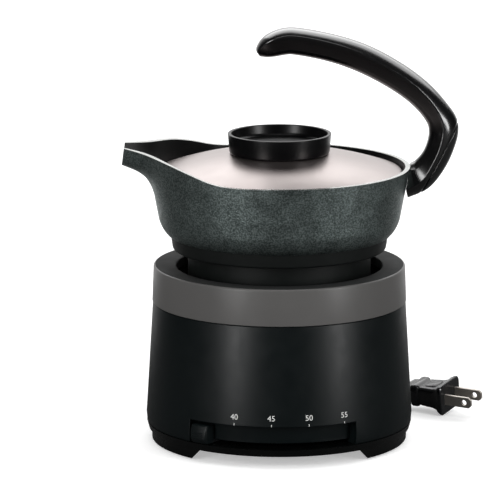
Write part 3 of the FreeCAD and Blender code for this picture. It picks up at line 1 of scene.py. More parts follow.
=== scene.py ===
"""Dressed model of a table-top electric sake warmer.

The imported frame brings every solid. The surfaces in view are modelled again here as clean
meshes of the same size, and each remaining solid gets the finish of its real material. All
lengths in this file are millimetres unless a name says otherwise, and the scene is in metres.
"""

import logging
import math
from dataclasses import dataclass
from enum import Enum
from typing import Optional, Sequence

import bmesh
import bpy
from mathutils import Matrix, Vector


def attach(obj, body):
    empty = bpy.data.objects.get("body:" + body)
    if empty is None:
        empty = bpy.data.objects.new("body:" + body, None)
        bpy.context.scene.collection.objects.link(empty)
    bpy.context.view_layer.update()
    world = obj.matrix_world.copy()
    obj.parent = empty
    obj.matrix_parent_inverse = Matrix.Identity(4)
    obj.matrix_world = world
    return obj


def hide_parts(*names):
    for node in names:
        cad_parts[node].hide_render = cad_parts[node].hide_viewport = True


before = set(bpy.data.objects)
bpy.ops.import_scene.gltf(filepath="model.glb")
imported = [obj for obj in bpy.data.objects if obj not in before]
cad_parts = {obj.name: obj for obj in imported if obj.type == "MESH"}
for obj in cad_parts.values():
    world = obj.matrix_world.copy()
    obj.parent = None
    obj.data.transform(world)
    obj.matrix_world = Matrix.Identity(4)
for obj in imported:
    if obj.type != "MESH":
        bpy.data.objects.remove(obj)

LOG = logging.getLogger("sake_warmer")
MM = 0.001
#: Angle in degrees above which a modelled edge stays sharp.
CREASE = 32.0
#: Lengths below this are taken as nothing.
TINY = 1e-6
#: Thickness of a cutting plane, in metres.
PLANE_REACH = 1e-7
#: Depths at which a rounded cut gets a ring of corners, as shares of its radius.
EASE_DEPTHS = (0.0, 0.04, 0.14, 0.3, 0.5, 0.74, 1.0)
Pair = tuple[float, float]
Triple = tuple[float, float, float]
Socket = bpy.types.NodeSocket


class Body(Enum):
    """The rigid bodies of the warmer."""

    BASE = "base"
    POT = "pot"
    LID = "lid"
    SELECTOR = "selector"


# ----------------------------------------------------------------------------------------
# Curves and outlines
# ----------------------------------------------------------------------------------------


def eased(table: Sequence[tuple[float, ...]], at: float) -> list[float]:
    """Reads a smooth curve through a table's rows.

    Args:
        table: Rows of a place along the curve followed by the values there.
        at: The place to read.

    Returns:
        The values at that place, held level beyond both ends.
    """
    if at <= table[0][0]:
        return list(table[0][1:])
    if at >= table[-1][0]:
        return list(table[-1][1:])
    last = len(table) - 1
    low = next(i for i in range(last) if at <= table[i + 1][0])
    span = table[low + 1][0] - table[low][0]
    t = (at - table[low][0]) / span

    def slope(row: int, column: int) -> float:
        """The slope of one value at a row, read from its neighbours.

        Args:
            row: The row's number.
            column: The value's number in the row.

        Returns:
            The slope.
        """
        before, after = max(row - 1, 0), min(row + 1, last)
        return (table[after][column] - table[before][column]) / (
            table[after][0] - table[before][0])

    values = []
    for column in range(1, len(table[0])):
        a, b = table[low][column], table[low + 1][column]
        m, n = slope(low, column) * span, slope(low + 1, column) * span
        values.append((2 * t**3 - 3 * t**2 + 1) * a + (t**3 - 2 * t**2 + t) * m
                      + (3 * t**2 - 2 * t**3) * b + (t**3 - t**2) * n)
    return values


def rounded(corners: Sequence[Triple], steps: int = 6) -> list[Pair]:
    """Rounds the corners of a closed outline.

    Args:
        corners: Rows of x, y and the radius wanted there, 0 for a sharp corner.
        steps: Number of chords in each rounded corner.

    Returns:
        The points of the rounded outline.
    """
    outline: list[Pair] = []
    count = len(corners)
    for number, (x, y, radius) in enumerate(corners):
        corner = Vector((x, y))
        before = Vector(corners[number - 1][:2]) - corner
        after = Vector(corners[(number + 1) % count][:2]) - corner
        if radius <= 0 or before.length < TINY or after.length < TINY:
            outline.append((x, y))
            continue
        half = before.angle(after) / 2
        reach = min(radius / math.tan(half), before.length * 0.49, after.length * 0.49)
        radius = reach * math.tan(half)
        before.normalize()
        after.normalize()
        centre = corner + (before + after).normalized() * (radius / math.sin(half))
        first = corner + before * reach - centre
        turn = first.angle_signed(corner + after * reach - centre)
        for step in range(steps + 1):
            spoke = Matrix.Rotation(-turn * step / steps, 2) @ first
            outline.append((centre.x + spoke.x, centre.y + spoke.y))
    return outline


def around(radius: float, azimuth: float, z: float) -> Triple:
    """The point at a radius and an azimuth in degrees, counted from the front to the handle."""
    turn = math.radians(azimuth)
    return radius * math.sin(turn), -radius * math.cos(turn), z


def from_spout(radius: float, turn: float, z: float) -> Triple:
    """The point at a radius and a turn in degrees, counted from the spout to the back."""
    angle = math.radians(turn)
    return -radius * math.cos(angle), radius * math.sin(angle), z


# ----------------------------------------------------------------------------------------
# Meshes
# ----------------------------------------------------------------------------------------


def new_object(name: str, vertices: Sequence[Triple], faces: Sequence[Sequence[int]],
               crease: float = CREASE) -> bpy.types.Object:
    """Makes a smooth-shaded object.

    Args:
        name: The object's name.
        vertices: Corners in millimetres.
        faces: Corner numbers of each face.
        crease: Angle in degrees above which an edge stays sharp.

    Returns:
        The linked object.
    """
    mesh = bpy.data.meshes.new(name)
    mesh.from_pydata([[value * MM for value in corner] for corner in vertices], [], faces)
    work = bmesh.new()
    work.from_mesh(mesh)
    bmesh.ops.remove_doubles(work, verts=work.verts, dist=TINY)
    bmesh.ops.recalc_face_normals(work, faces=work.faces)
    work.to_mesh(mesh)
    work.free()
    shade(mesh, crease)
    item = bpy.data.objects.new(name, mesh)
    bpy.context.scene.collection.objects.link(item)
    return item


def shade(mesh: bpy.types.Mesh, crease: float = CREASE) -> None:
    """Shades a mesh smooth, with sharp edges above an angle in degrees."""
    mesh.shade_smooth()
    mesh.set_sharp_from_angle(angle=math.radians(crease))


def lathe(name: str, outline: Sequence[Pair], steps: int = 192,
          crease: float = CREASE) -> bpy.types.Object:
    """Turns a closed outline of radius and height about the upright axis.

    Args:
        name: The object's name.
        outline: Points of the outline in order.
        steps: Number of columns round the axis.
        crease: Angle above which an edge stays sharp.

    Returns:
        The turned object.
    """
    count = len(outline)
    vertices = [around(radius, 360 * column / steps, z)
                for column in range(steps) for radius, z in outline]
    faces = []
    for column in range(steps):
        here, there = column * count, (column + 1) % steps * count
        for row in range(count):
            below, above = row, (row + 1) % count
            if outline[below][0] < TINY and outline[above][0] < TINY:
                continue
            faces.append((here + below, there + below, there + above, here + above))
    return new_object(name, vertices, faces, crease)


def sleeve(name: str, loops: Sequence[Sequence[Triple]], crease: float = CREASE,
           capped: bool = True) -> bpy.types.Object:
    """Skins a row of closed loops that have equal numbers of points.

    Args:
        name: The object's name.
        loops: The loops in order.
        crease: Angle above which an edge stays sharp.
        capped: Whether both ends are closed.

    Returns:
        The skinned object.
    """
    count = len(loops[0])
    vertices = [corner for loop in loops for corner in loop]
    faces: list[Sequence[int]] = []
    for row in range(len(loops) - 1):
        for column in range(count):
            beside = (column + 1) % count
            faces.append((row * count + column, row * count + beside,
                          (row + 1) * count + beside, (row + 1) * count + column))
    if capped:
        faces.append(tuple(range(count)))
        faces.append(tuple((len(loops) - 1) * count + column for column in range(count)))
    return new_object(name, vertices, faces, crease)


def sliced(item: bpy.types.Object, point: Triple, outward: Triple,
           crease: float = CREASE) -> None:
    """Cuts away the part of a closed mesh on the outward side of a plane and caps the cut.

    Args:
        item: The object to cut.
        point: A point of the plane in millimetres.
        outward: The plane's normal, towards what goes.
        crease: Angle above which an edge stays sharp.
    """
    work = bmesh.new()
    work.from_mesh(item.data)
    everything = work.verts[:] + work.edges[:] + work.faces[:]
    bmesh.ops.bisect_plane(work, geom=everything, plane_co=Vector(point) * MM,
                           plane_no=Vector(outward), clear_outer=True, dist=PLANE_REACH)
    rim = [edge for edge in work.edges if edge.is_boundary]
    made = bmesh.ops.contextual_create(work, geom=rim)
    bmesh.ops.triangulate(work, faces=made["faces"])
    bmesh.ops.recalc_face_normals(work, faces=work.faces)
    work.to_mesh(item.data)
    work.free()
    shade(item.data, crease)


def eased_cut(item: bpy.types.Object, point: Triple, outward: Triple, radius: float) -> None:
    """Cuts a closed form with a plane and rounds the cut's edge by a radius in millimetres.

    Args:
        item: The object to cut.
        point: A point of the plane in millimetres.
        outward: The plane's normal, towards what goes.
        radius: Radius of the rounded edge.
    """
    normal, spot = Vector(outward).normalized(), Vector(point) * MM
    work = bmesh.new()
    work.from_mesh(item.data)
    for share in EASE_DEPTHS:
        bmesh.ops.bisect_plane(work, geom=work.verts[:] + work.edges[:] + work.faces[:],
                               plane_co=spot - normal * radius * MM * share,
                               plane_no=normal, dist=PLANE_REACH)
    work.normal_update()
    moves = []
    slack = 1e-3
    for corner in work.verts:
        depth = (spot - corner.co).dot(normal) / MM
        if -slack < depth < radius:
            inward = corner.normal - normal * corner.normal.dot(normal)
            sunk = radius - math.sqrt(radius**2 - (radius - max(depth, 0.0)) ** 2)
            moves.append((corner, inward.normalized() * sunk * MM))
    for corner, move in moves:
        corner.co -= move
    work.to_mesh(item.data)
    work.free()
    sliced(item, point, outward, crease=60.0)


def soften(item: bpy.types.Object, width: float, angle: float = 40.0, steps: int = 3) -> None:
    """Rounds an object's sharp edges.

    Args:
        item: The object.
        width: Width of the rounding in millimetres.
        angle: Angle in degrees above which an edge counts as sharp.
        steps: Number of facets in the rounding.
    """
    bevel = item.modifiers.new("edge_round", "BEVEL")
    bevel.width = width * MM
    bevel.segments = steps
    bevel.limit_method = "ANGLE"
    bevel.angle_limit = math.radians(angle)
    bevel.harden_normals = True


# ----------------------------------------------------------------------------------------
# Finishes
# ----------------------------------------------------------------------------------------


def linear(colour: str) -> tuple[float, float, float, float]:
    """Turns an sRGB colour linear.

    Args:
        colour: A hex value such as "#1c2022".

    Returns:
        The linear red, green and blue, and full opacity.
    """
    parts = [int(colour[place:place + 2], 16) / 255 for place in (1, 3, 5)]
    red, green, blue = (part / 12.92 if part <= 0.04045 else ((part + 0.055) / 1.055) ** 2.4
                        for part in parts)
    return red, green, blue, 1.0


def add_node(tree: bpy.types.NodeTree, kind: str, inputs: Optional[dict] = None,
             **settings: object) -> bpy.types.Node:
    """Adds a node with its settings and links.

    Args:
        tree: The tree to add it to.
        kind: Blender's name of the node's type.
        inputs: Values or linked sockets by input name or number.
        settings: The node's own properties.

    Returns:
        The new node.
    """
    node = tree.nodes.new(kind)
    for name, value in settings.items():
        setattr(node, name, value)
    for name, value in (inputs or {}).items():
        if isinstance(value, Socket):
            tree.links.new(value, node.inputs[name])
        else:
            node.inputs[name].default_value = value
    return node


@dataclass(frozen=True)
class Finish:
    """A material as its maker names it, with the surface that its making leaves.

    Attributes:
        name: The material's common name.
        colour: Its sRGB colour.
        roughness: Its middle roughness, from 0 to 1.
        grain: Size of the lumps in its relief, in millimetres.
        relief: Depth of that relief, in millimetres.
        mottle: How much lighter and darker its patches are, as a share of the colour.
        uneven: How much rougher and smoother its patches are.
        ior: Its index of refraction, left at the default on metal.
        metallic: 1 for bare metal or a coat full of metal flake.
    """

    name: str
    colour: str
    roughness: float
    grain: float = 0.4
    relief: float = 0.01
    mottle: float = 0.15
    uneven: float = 0.04
    ior: float = 1.5
    metallic: float = 0.0

    def material(self) -> bpy.types.Material:
        """Makes the finish as a node material.

        Returns:
            The material, which is made once and then shared.
        """
        known = bpy.data.materials.get(self.name)
        if known:
            return known
        made = bpy.data.materials.new(self.name)
        made.use_nodes = True
        tree = made.node_tree
        tree.nodes.clear()
        place = add_node(tree, "ShaderNodeTexCoord").outputs["Object"]
        shader = add_node(tree, "ShaderNodeBsdfPrincipled", {
            "Base Color": self.tint(tree, place),
            "Roughness": self.gloss(tree, place),
            "Metallic": self.metallic,
            "Normal": self.normal(tree, place),
        })
        if self.metallic < 0.5:
            shader.inputs["IOR"].default_value = self.ior
        self.complete(shader)
        add_node(tree, "ShaderNodeOutputMaterial", {"Surface": shader.outputs["BSDF"]})
        made.diffuse_color = linear(self.colour)
        made.roughness = self.roughness
        made.metallic = self.metallic
        return made

    def noise(self, tree: bpy.types.NodeTree, place: Socket, size: float,
              detail: float = 2.0) -> Socket:
        """Adds a noise.

        Args:
            tree: The tree to add it to.
            place: The place to read it at.
            size: Size of its lumps in millimetres.
            detail: How many finer layers it has.

        Returns:
            The noise from 0 to 1.
        """
        return add_node(tree, "ShaderNodeTexNoise", {
            "Vector": place, "Scale": 1000.0 / size, "Detail": detail,
        }).outputs["Fac"]

    def tint(self, tree: bpy.types.NodeTree, place: Socket) -> Socket:
        """The base colour, a little lighter and darker in soft patches.

        Args:
            tree: The tree to add the nodes to.
            place: The place on the object.

        Returns:
            The base colour.
        """
        patch_size = 18.0
        patches = self.noise(tree, place, patch_size, 3.0)
        plain = linear(self.colour)[:3]
        dark = tuple(value * (1 - self.mottle) for value in plain) + (1.0,)
        light = tuple(min(value * (1 + self.mottle), 1.0) for value in plain) + (1.0,)
        return add_node(tree, "ShaderNodeMix", {0: patches, 6: dark, 7: light},
                        data_type="RGBA").outputs[2]

    def gloss(self, tree: bpy.types.NodeTree, place: Socket) -> Socket:
        """The roughness, uneven in patches as handled surfaces are.

        Args:
            tree: The tree to add the nodes to.
            place: The place on the object.

        Returns:
            The roughness.
        """
        patch_size, smoothest = 9.0, 0.02
        patches = self.noise(tree, place, patch_size, 4.0)
        return add_node(tree, "ShaderNodeMapRange", {
            "Value": patches, "From Min": 0.3, "From Max": 0.7,
            "To Min": max(self.roughness - self.uneven, smoothest),
            "To Max": self.roughness + self.uneven,
        }).outputs["Result"]

    def height(self, tree: bpy.types.NodeTree, place: Socket) -> Socket:
        """The relief of the surface from 0 to 1."""
        return self.noise(tree, place, self.grain, 3.0)

    def normal(self, tree: bpy.types.NodeTree, place: Socket) -> Socket:
        """The surface normal with the relief on it.

        Args:
            tree: The tree to add the nodes to.
            place: The place on the object.

        Returns:
            The normal.
        """
        return add_node(tree, "ShaderNodeBump", {
            "Height": self.height(tree, place), "Distance": self.relief * MM, "Strength": 1.0,
        }).outputs["Normal"]

    def complete(self, shader: bpy.types.Node) -> None:
        """Sets what this finish has beside colour, roughness and relief."""


@dataclass(frozen=True)
class CastCoat(Finish):
    """Sprayed heat-proof coat over cast metal: a pebbled black with pale specks painted in as
    glints.

    Attributes:
        speck: The sRGB colour of the specks, which are painted glints.
        glint_speck_size: Their size in millimetres, drawn coarse enough to show.
    """

    speck: str = "#5b625d"
    glint_speck_size: float = 0.9

    def tint(self, tree: bpy.types.NodeTree, place: Socket) -> Socket:
        """Dark with close-set lighter specks: painted glints of the coat's pebbles, laid at
        random.

        Args:
            tree: The tree to add the nodes to.
            place: The place on the object.

        Returns:
            The base colour.
        """
        ground = super().tint(tree, place)
        # Painted glints: pale specks standing in for light caught by the pebbles.
        grit = self.noise(tree, place, self.glint_speck_size, 2.0)
        share = add_node(tree, "ShaderNodeMapRange", {
            "Value": grit, "From Min": 0.42, "From Max": 0.62, "To Min": 0.0, "To Max": 1.0,
        }).outputs["Result"]
        return add_node(tree, "ShaderNodeMix", {0: share, 6: ground, 7: linear(self.speck)},
                        data_type="RGBA").outputs[2]

    def height(self, tree: bpy.types.NodeTree, place: Socket) -> Socket:
        """Coarse pebbles with a finer grit on them.

        Args:
            tree: The tree to add the nodes to.
            place: The place on the object.

        Returns:
            The relief's height.
        """
        pebbles = self.noise(tree, place, self.grain, 2.0)
        finer = 0.4
        grit = self.noise(tree, place, self.grain * finer, 2.0)
        return add_node(tree, "ShaderNodeMath", {0: pebbles, 1: grit},
                        operation="ADD").outputs["Value"]


@dataclass(frozen=True)
class SpunMetal(Finish):
    """Metal finished in a lathe: fine rings about the upright axis.

    Attributes:
        ring: Spacing of the rings in millimetres, drawn coarser than a lathe cuts them so
            that they show.
    """

    ring: float = 0.5

    def height(self, tree: bpy.types.NodeTree, place: Socket) -> Socket:
        """Fine concentric rings of uneven depth.

        Args:
            tree: The tree to add the nodes to.
            place: The place on the object.

        Returns:
            The relief's height.
        """
        flat = add_node(tree, "ShaderNodeVectorMath", {0: place, 1: (1.0, 1.0, 0.0)},
                        operation="MULTIPLY").outputs["Vector"]
        reach = add_node(tree, "ShaderNodeVectorMath", {0: flat},
                         operation="LENGTH").outputs["Value"]
        return add_node(tree, "ShaderNodeTexNoise", {
            "W": reach, "Scale": 1000.0 / self.ring, "Detail": 3.0,
        }, noise_dimensions="1D").outputs["Fac"]


@dataclass(frozen=True)
class PolishedPhenolic(Finish):
    """Compression-moulded phenolic, buffed: deep black under a hard clear skin.

    Attributes:
        coat: Weight of the buffed skin.
        coat_roughness: Its roughness.
    """

    coat: float = 0.8
    coat_roughness: float = 0.16

    def complete(self, shader: bpy.types.Node) -> None:
        """Adds the buffed skin."""
        shader.inputs["Coat Weight"].default_value = self.coat
        shader.inputs["Coat Roughness"].default_value = self.coat_roughness


@dataclass(frozen=True)
class SoftRubber(Finish):
    """Rubber or soft PVC: black with a dusty sheen at grazing angles.

    Attributes:
        sheen: Weight of the sheen.
        sheen_roughness: Its roughness.
    """

    sheen: float = 0.15
    sheen_roughness: float = 0.5

    def complete(self, shader: bpy.types.Node) -> None:
        """Adds the dusty sheen."""
        shader.inputs["Sheen Weight"].default_value = self.sheen
        shader.inputs["Sheen Roughness"].default_value = self.sheen_roughness


class Finishes:
    """Every finish on the warmer."""

    # Injection-moulded ABS, spark-eroded mould: an even satin black that only glows softly.
    HOUSING = Finish("satin_black_abs", "#080e0f", 0.38, grain=0.5, relief=0.003, ior=1.33)
    # Sprayed gray lacquer on ABS: a silky band that glows softly where a lamp meets it.
    RING = Finish("gray_lacquer", "#565554", 0.34, grain=0.35, relief=0.003,
                  mottle=0.04, ior=1.36)
    # The ring's flat top and its inner wall: the same lacquer sprayed matt, with a darker
    # colour painted on as the shade that falls there.
    RING_TOP_PAINTED_SHADE = Finish("matt_gray_lacquer_painted_shade", "#2d2e2e", 0.75, grain=0.35, relief=0.006,
                      mottle=0.06, ior=1.3)
    # Heat-proof coat on sand-cast aluminium: pebbled and full of metal flake, with pale specks
    # of coarser grit painted in as glints, laid at random.
    POT = CastCoat("pebbled_cast_coat", "#66716f", 0.4, grain=1.1, relief=0.11,
                   mottle=0.1, uneven=0.08, metallic=1.0, speck="#9aa6a4", glint_speck_size=0.9)
    # Bare aluminium turned after coating: a bright hairline where the rim was faced off.
    RIM = SpunMetal("faced_aluminium_rim", "#c9cbc8", 0.24, relief=0.003, metallic=1.0)
    # The pot's skirt and the foot that stands on the hot plate: matt black, no flake in it, its
    # dark colour painted shade of the well and of the bowl's overhang.
    FOOT_PAINTED_SHADE = Finish("matt_foot_painted_shade", "#090d0c", 0.5, grain=0.8, relief=0.01, ior=1.4)
    # The pot's inside: smooth non-stick coat, satin.
    NON_STICK = Finish("non_stick_lining", "#0a0b0b", 0.42, grain=0.6, relief=0.006, ior=1.35)
    # Champagne anodised aluminium, spun then bead-blasted: a silky pale metal.
    LID = SpunMetal("champagne_anodised_aluminium", "#a79e9c", 0.36, relief=0.0006,
                    mottle=0.01, uneven=0.02, metallic=1.0, ring=0.9)
    # The handle's phenolic, buffed to a mirror black that shows the lamps as long streaks.
    PHENOLIC = PolishedPhenolic("buffed_black_phenolic", "#040405", 0.24, grain=6.0,
                                relief=0.002, mottle=0.1, uneven=0.02, ior=1.5)
    # The lid's knob: the same phenolic as it comes from the mould, a deep satin black.
    KNOB = Finish("moulded_black_phenolic", "#040405", 0.3, grain=6.0, relief=0.0003,
                  mottle=0.1, uneven=0.02, ior=1.35)
    # Glass-filled nylon, moulded: dull dark gray-black for hidden parts.
    NYLON = Finish("moulded_black_nylon", "#1b1c1e", 0.5, grain=0.6, relief=0.01)
    # The base plate: the same nylon from a polished mould, a clean deep black.
    PLATE = Finish("polished_black_nylon", "#040505", 0.26, grain=0.6, relief=0.003, ior=1.4)
    # Rubber pads and bushes: dull, faintly dusty black.
    RUBBER = SoftRubber("moulded_black_rubber", "#141415", 0.62, grain=0.5, relief=0.012)
    # Soft PVC sheath: low gloss that lights up along its length.
    SHEATH = SoftRubber("pvc_cord_sheath", "#18191b", 0.42, grain=0.7, relief=0.006,
                        sheen=0.08)
    # Moulded PVC plug: hard and glossy beside the cord's dull sheath.
    PLUG = SoftRubber("moulded_pvc_plug", "#111214", 0.2, grain=0.6, relief=0.004, ior=1.54,
                      sheen=0.05)
    # Silicone gasket: matt brick red.
    SILICONE = SoftRubber("silicone_gasket", "#7e2f27", 0.6, grain=0.8, relief=0.008)
    # Vitreous enamel on sheet steel: black, wet-looking with a slight orange peel.
    ENAMEL = Finish("black_enamelled_steel", "#121314", 0.22, grain=2.2, relief=0.012)
    # Cast heater disc with a baked heat-proof coat: dark, dry and slightly rough, with paler
    # specks painted in as glints.
    HOT_PLATE = CastCoat("baked_plate_coat", "#1a1b1c", 0.48, grain=0.8, relief=0.02,
                         speck="#4a4b4b", glint_speck_size=0.7)
    # Bright rolled sheet: cool, clean metal.
    SHEET = Finish("bright_rolled_steel", "#b9bab8", 0.32, grain=0.3, relief=0.003,
                   mottle=0.05, metallic=1.0)
    # Heater sheath browned by heat: uneven straw to gray.
    SHEATHED_HEATER = Finish("heat_dulled_steel", "#6d6459", 0.46, grain=0.5, relief=0.006,
                             mottle=0.35, metallic=1.0)
    # Zinc-plated screws: pale, slightly blue.
    ZINC = Finish("zinc_plated_steel", "#aeb2b6", 0.30, grain=0.3, relief=0.003, metallic=1.0)
    # Stainless steel screws and washer: bright and neutral.
    STAINLESS = Finish("stainless_steel", "#b4b3b0", 0.26, grain=0.3, relief=0.002,
                       metallic=1.0)
    # Nickel-plated brass blades: a warm silver, dulled so that it catches light all over.
    NICKEL = Finish("nickel_plated_brass", "#d6d0c9", 0.6, grain=0.4, relief=0.003,
                    metallic=1.0)
    # Bare brass terminals: yellow, tarnished in patches.
    BRASS = Finish("bare_brass", "#b8924c", 0.32, grain=0.4, relief=0.004, mottle=0.2,
                   metallic=1.0)
    # Steatite block: matt ivory ceramic.
    STEATITE = Finish("steatite_ceramic", "#d9d2c2", 0.45, grain=0.5, relief=0.006,
                      mottle=0.04)
    # Urea terminal block: ivory with a soft gloss.
    UREA = Finish("moulded_urea", "#d6d0be", 0.32, grain=0.8, relief=0.004, mottle=0.03)
    # Screen-printed ink: flat white, a little thin.
    INK = Finish("white_screen_ink", "#dfe0dd", 0.55, grain=0.2, relief=0.004, mottle=0.04)


#: The finish of each solid that is shown as it comes from the frame.
SOLID_FINISHES: dict[str, Finish] = {
    "base_plate": Finishes.PLATE,
    "foot_pads": Finishes.RUBBER,
    "base_screws": Finishes.ZINC,
    "well_liner": Finishes.ENAMEL,
    "liner_screws": Finishes.ZINC,
    "plate_seal": Finishes.SILICONE,
    "hot_plate": Finishes.HOT_PLATE,
    "heater_screws": Finishes.ZINC,
    "heat_shield": Finishes.SHEET,
    "heating_element": Finishes.SHEATHED_HEATER,
    "thermostat": Finishes.STEATITE,
    "thermostat_tabs": Finishes.BRASS,
    "thermostat_bracket": Finishes.SHEET,
    "thermostat_screws": Finishes.ZINC,
    "thermal_fuse": Finishes.NICKEL,
    "fuse_clip": Finishes.SHEET,
    "selector_shaft": Finishes.ZINC,
    "selector_lever": Finishes.NYLON,
    "cord_inner_end": Finishes.SHEATH,
    "cord_clamp": Finishes.NYLON,
    "cord_clamp_screws": Finishes.ZINC,
    "terminal_block": Finishes.UREA,
    "terminal_screws": Finishes.BRASS,
    "handle_screws": Finishes.STAINLESS,
    "lid_ring": Finishes.LID,
    "knob_washer": Finishes.STAINLESS,
    "knob_screw": Finishes.STAINLESS,
    "plug_blades": Finishes.NICKEL,
}


#: Edge rounding, in millimetres, of the solids whose edges are in view.
SOFTENED: dict[str, float] = {"base_plate": 0.8, "plug_blades": 0.2, "foot_pads": 0.4}


def install(item: bpy.types.Object, finish: Finish, body: Body,
            nodes: Sequence[str] = ()) -> bpy.types.Object:
    """Dresses a piece, lets it ride on its body and names the solids that it stands for.

    Args:
        item: The piece.
        finish: Its main finish.
        body: The body that it moves with.
        nodes: The solids that it replaces.

    Returns:
        The same piece.
    """
    if not item.data.materials:
        item.data.materials.append(finish.material())
    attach(item, body.value)
    if nodes:
        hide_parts(*nodes)
    LOG.info("%s: on %s, for %s", item.name, body.value, ", ".join(nodes) or "no solid")
    return item


# ----------------------------------------------------------------------------------------
# Base
# ----------------------------------------------------------------------------------------


@dataclass
class HeatedBase:
    """The round base: housing with its recess, trim ring, selector tab and printed scale.

    Angles are azimuths in degrees, counted from the front towards the handle.
    """

    deck_top: float = 11.0
    plate_radius: float = 75.7
    belly_radius: float = 76.0
    belly_height: float = 15.0
    seam_radius: float = 72.1
    seam_height: float = 80.4
    wall: float = 2.4
    lip_round: float = 0.5
    #: How far the belly's bend is eased in, at its foot and at its crest.
    foot_ease: float = 0.05
    crest_ease: float = 0.22
    neck_radius: float = 69.2
    neck_top: float = 94.6
    flange_radius: float = 61.5
    recess_radius: float = 69.5
    recess_top: float = 24.0
    recess_wall: float = 2.0
    recess_start: float = -41.8
    recess_end: float = 34.4
    #: Columns of the mesh across the recess and round the rest.
    recess_steps: int = 48
    skin_steps: int = 160
    slot_top: float = 13.4
    ring_top: float = 101.5
    ring_inner_low: float = 95.8
    ring_fall: float = 0.6
    ring_step: float = 0.3
    ring_radius: float = 71.6
    well_radius: float = 58.6
    off_azimuth: float = -35.9
    pitch: float = 16.1
    tab_half: float = 5.5
    tab_crown: float = 0.5
    ridge_front: float = 78.35
    ridge_heights: Triple = (15.2, 16.6, 18.0)
    scale_height: float = 29.0
    scale_size: float = 4.4
    scale_text: tuple[str, ...] = ("40", "45", "50", "55")
    #: Half the width of a printed tick, and its ends below the numbers' middle.
    tick_half: float = 0.18
    tick_low: float = -4.6
    tick_high: float = -3.4
    ink_proud: float = 0.06

    def build(self) -> None:
        """Builds every piece of the base that is modelled here."""
        self.housing()
        self.trim_ring()
        self.selector_tab()
        self.scale()

    def skin_radius(self, z: float) -> float:
        """Radius of the housing's outside at a height between belly and seam."""
        share = (z - self.belly_height) / (self.seam_height - self.belly_height)
        return self.belly_radius + (self.seam_radius - self.belly_radius) * share

    def housing(self) -> bpy.types.Object:
        """The tapered shell, open at the recess, with the recess's own walls.

        Returns:
            The housing.
        """
        seam, wall = self.seam_height, self.wall
        below_seam = seam - 20
        top_part = rounded([
            (self.seam_radius, seam, self.lip_round),
            (self.neck_radius, seam, 0), (self.neck_radius, self.neck_top, 0.3),
            (self.flange_radius, self.neck_top, 0.3),
            (self.flange_radius, self.neck_top - wall, 0),
            (self.neck_radius - wall, self.neck_top - wall, 0),
            (self.neck_radius - wall, seam - wall, 0),
            (self.seam_radius - wall, seam - wall, 0),
            (self.seam_radius - wall, below_seam, 0),
            (self.seam_radius, below_seam, 0),
        ], steps=3)[:-2]
        foot = (self.plate_radius - self.lip_round, self.deck_top)
        foot_in = (self.plate_radius - wall, self.deck_top)
        bend, crest, ease = self.deck_top + 0.9, self.belly_height - 1.2, self.crest_ease
        shoulder = self.belly_height + 0.6
        belly = [(self.plate_radius - self.foot_ease, bend), (self.belly_radius - ease, crest),
                 (self.belly_radius, shoulder)]
        belly_in = [(self.belly_radius - wall, shoulder),
                    (self.belly_radius - wall - ease, crest),
                    (self.plate_radius - wall - self.foot_ease, bend)]
        edge = self.skin_radius(self.recess_top)
        inner_edge = (edge - wall, self.recess_top)
        outer_edge = (edge, self.recess_top)
        full = [foot] + belly + [outer_edge] + top_part + [inner_edge] + belly_in + [foot_in]
        under = len(belly) + 1
        cut = [outer_edge] * (under + 1) + top_part + [inner_edge] * (under + 1)
        opening, last = self.recess_end - self.recess_start, self.recess_steps
        azimuths = [self.recess_start + opening * step / last for step in range(last + 1)]
        rest = 360 - opening
        azimuths += [self.recess_end + rest * step / self.skin_steps
                     for step in range(1, self.skin_steps)]
        count, columns = len(full), len(azimuths)
        rows = [cut if 0 < number < last else full for number in range(columns)]
        vertices = [around(radius, azimuth, z)
                    for azimuth, row in zip(azimuths, rows) for radius, z in row]
        faces: list[Sequence[int]] = []
        for column in range(columns):
            beside = (column + 1) % columns
            recessed = column < last
            for row in range(count):
                above = (row + 1) % count
                if recessed and (row < under or row >= count - under - 1):
                    continue
                faces.append((column * count + row, beside * count + row,
                              beside * count + above, column * count + above))
            if recessed:
                inside = count - under - 1
                faces.append((column * count + under, beside * count + under,
                              beside * count + inside, column * count + inside))
        for column in (0, last):
            ring = [*range(under + 1), *range(count - under - 1, count)]
            faces.append([column * count + row for row in ring])
        shell = new_object("housing_shell", vertices, faces)
        soften(shell, width=0.5, angle=42.0, steps=3)
        install(shell, Finishes.HOUSING, Body.BASE, ["housing"])
        self.recess_pan()
        return shell

    def recess_pan(self) -> None:
        """The recess's back wall, ceiling and ends, with the lever's slot left open below."""
        thick, lap, lift = self.recess_wall, 0.6, 0.1
        inner, outer = self.recess_radius, self.skin_radius(self.recess_top) - lap
        outline = rounded([
            (inner - thick, self.slot_top, 0.3), (inner, self.slot_top, 0.3),
            (inner, self.recess_top, 1.2), (outer, self.recess_top, 0),
            (outer, self.recess_top + thick, 0), (inner - thick, self.recess_top + thick, 0),
        ], steps=3)
        margin = math.degrees(thick / inner)
        steps = 60
        loops = []
        for step in range(steps + 1):
            share = step / steps
            azimuth = self.recess_start + (self.recess_end - self.recess_start) * share
            loops.append([around(radius, azimuth, z) for radius, z in outline])
        pan = sleeve("recess_back", loops)
        install(pan, Finishes.HOUSING, Body.BASE)
        for name, start in (("recess_end_left", self.recess_start - margin),
                            ("recess_end_right", self.recess_end)):
            wall = [(inner - thick, self.deck_top + lift), (outer, self.deck_top + lift),
                    (outer, self.recess_top + thick), (inner - thick, self.recess_top + thick)]
            loops = [[around(radius, start + margin * share, z) for radius, z in wall]
                     for share in (0.0, 0.5, 1.0)]
            install(sleeve(name, loops), Finishes.HOUSING, Body.BASE)

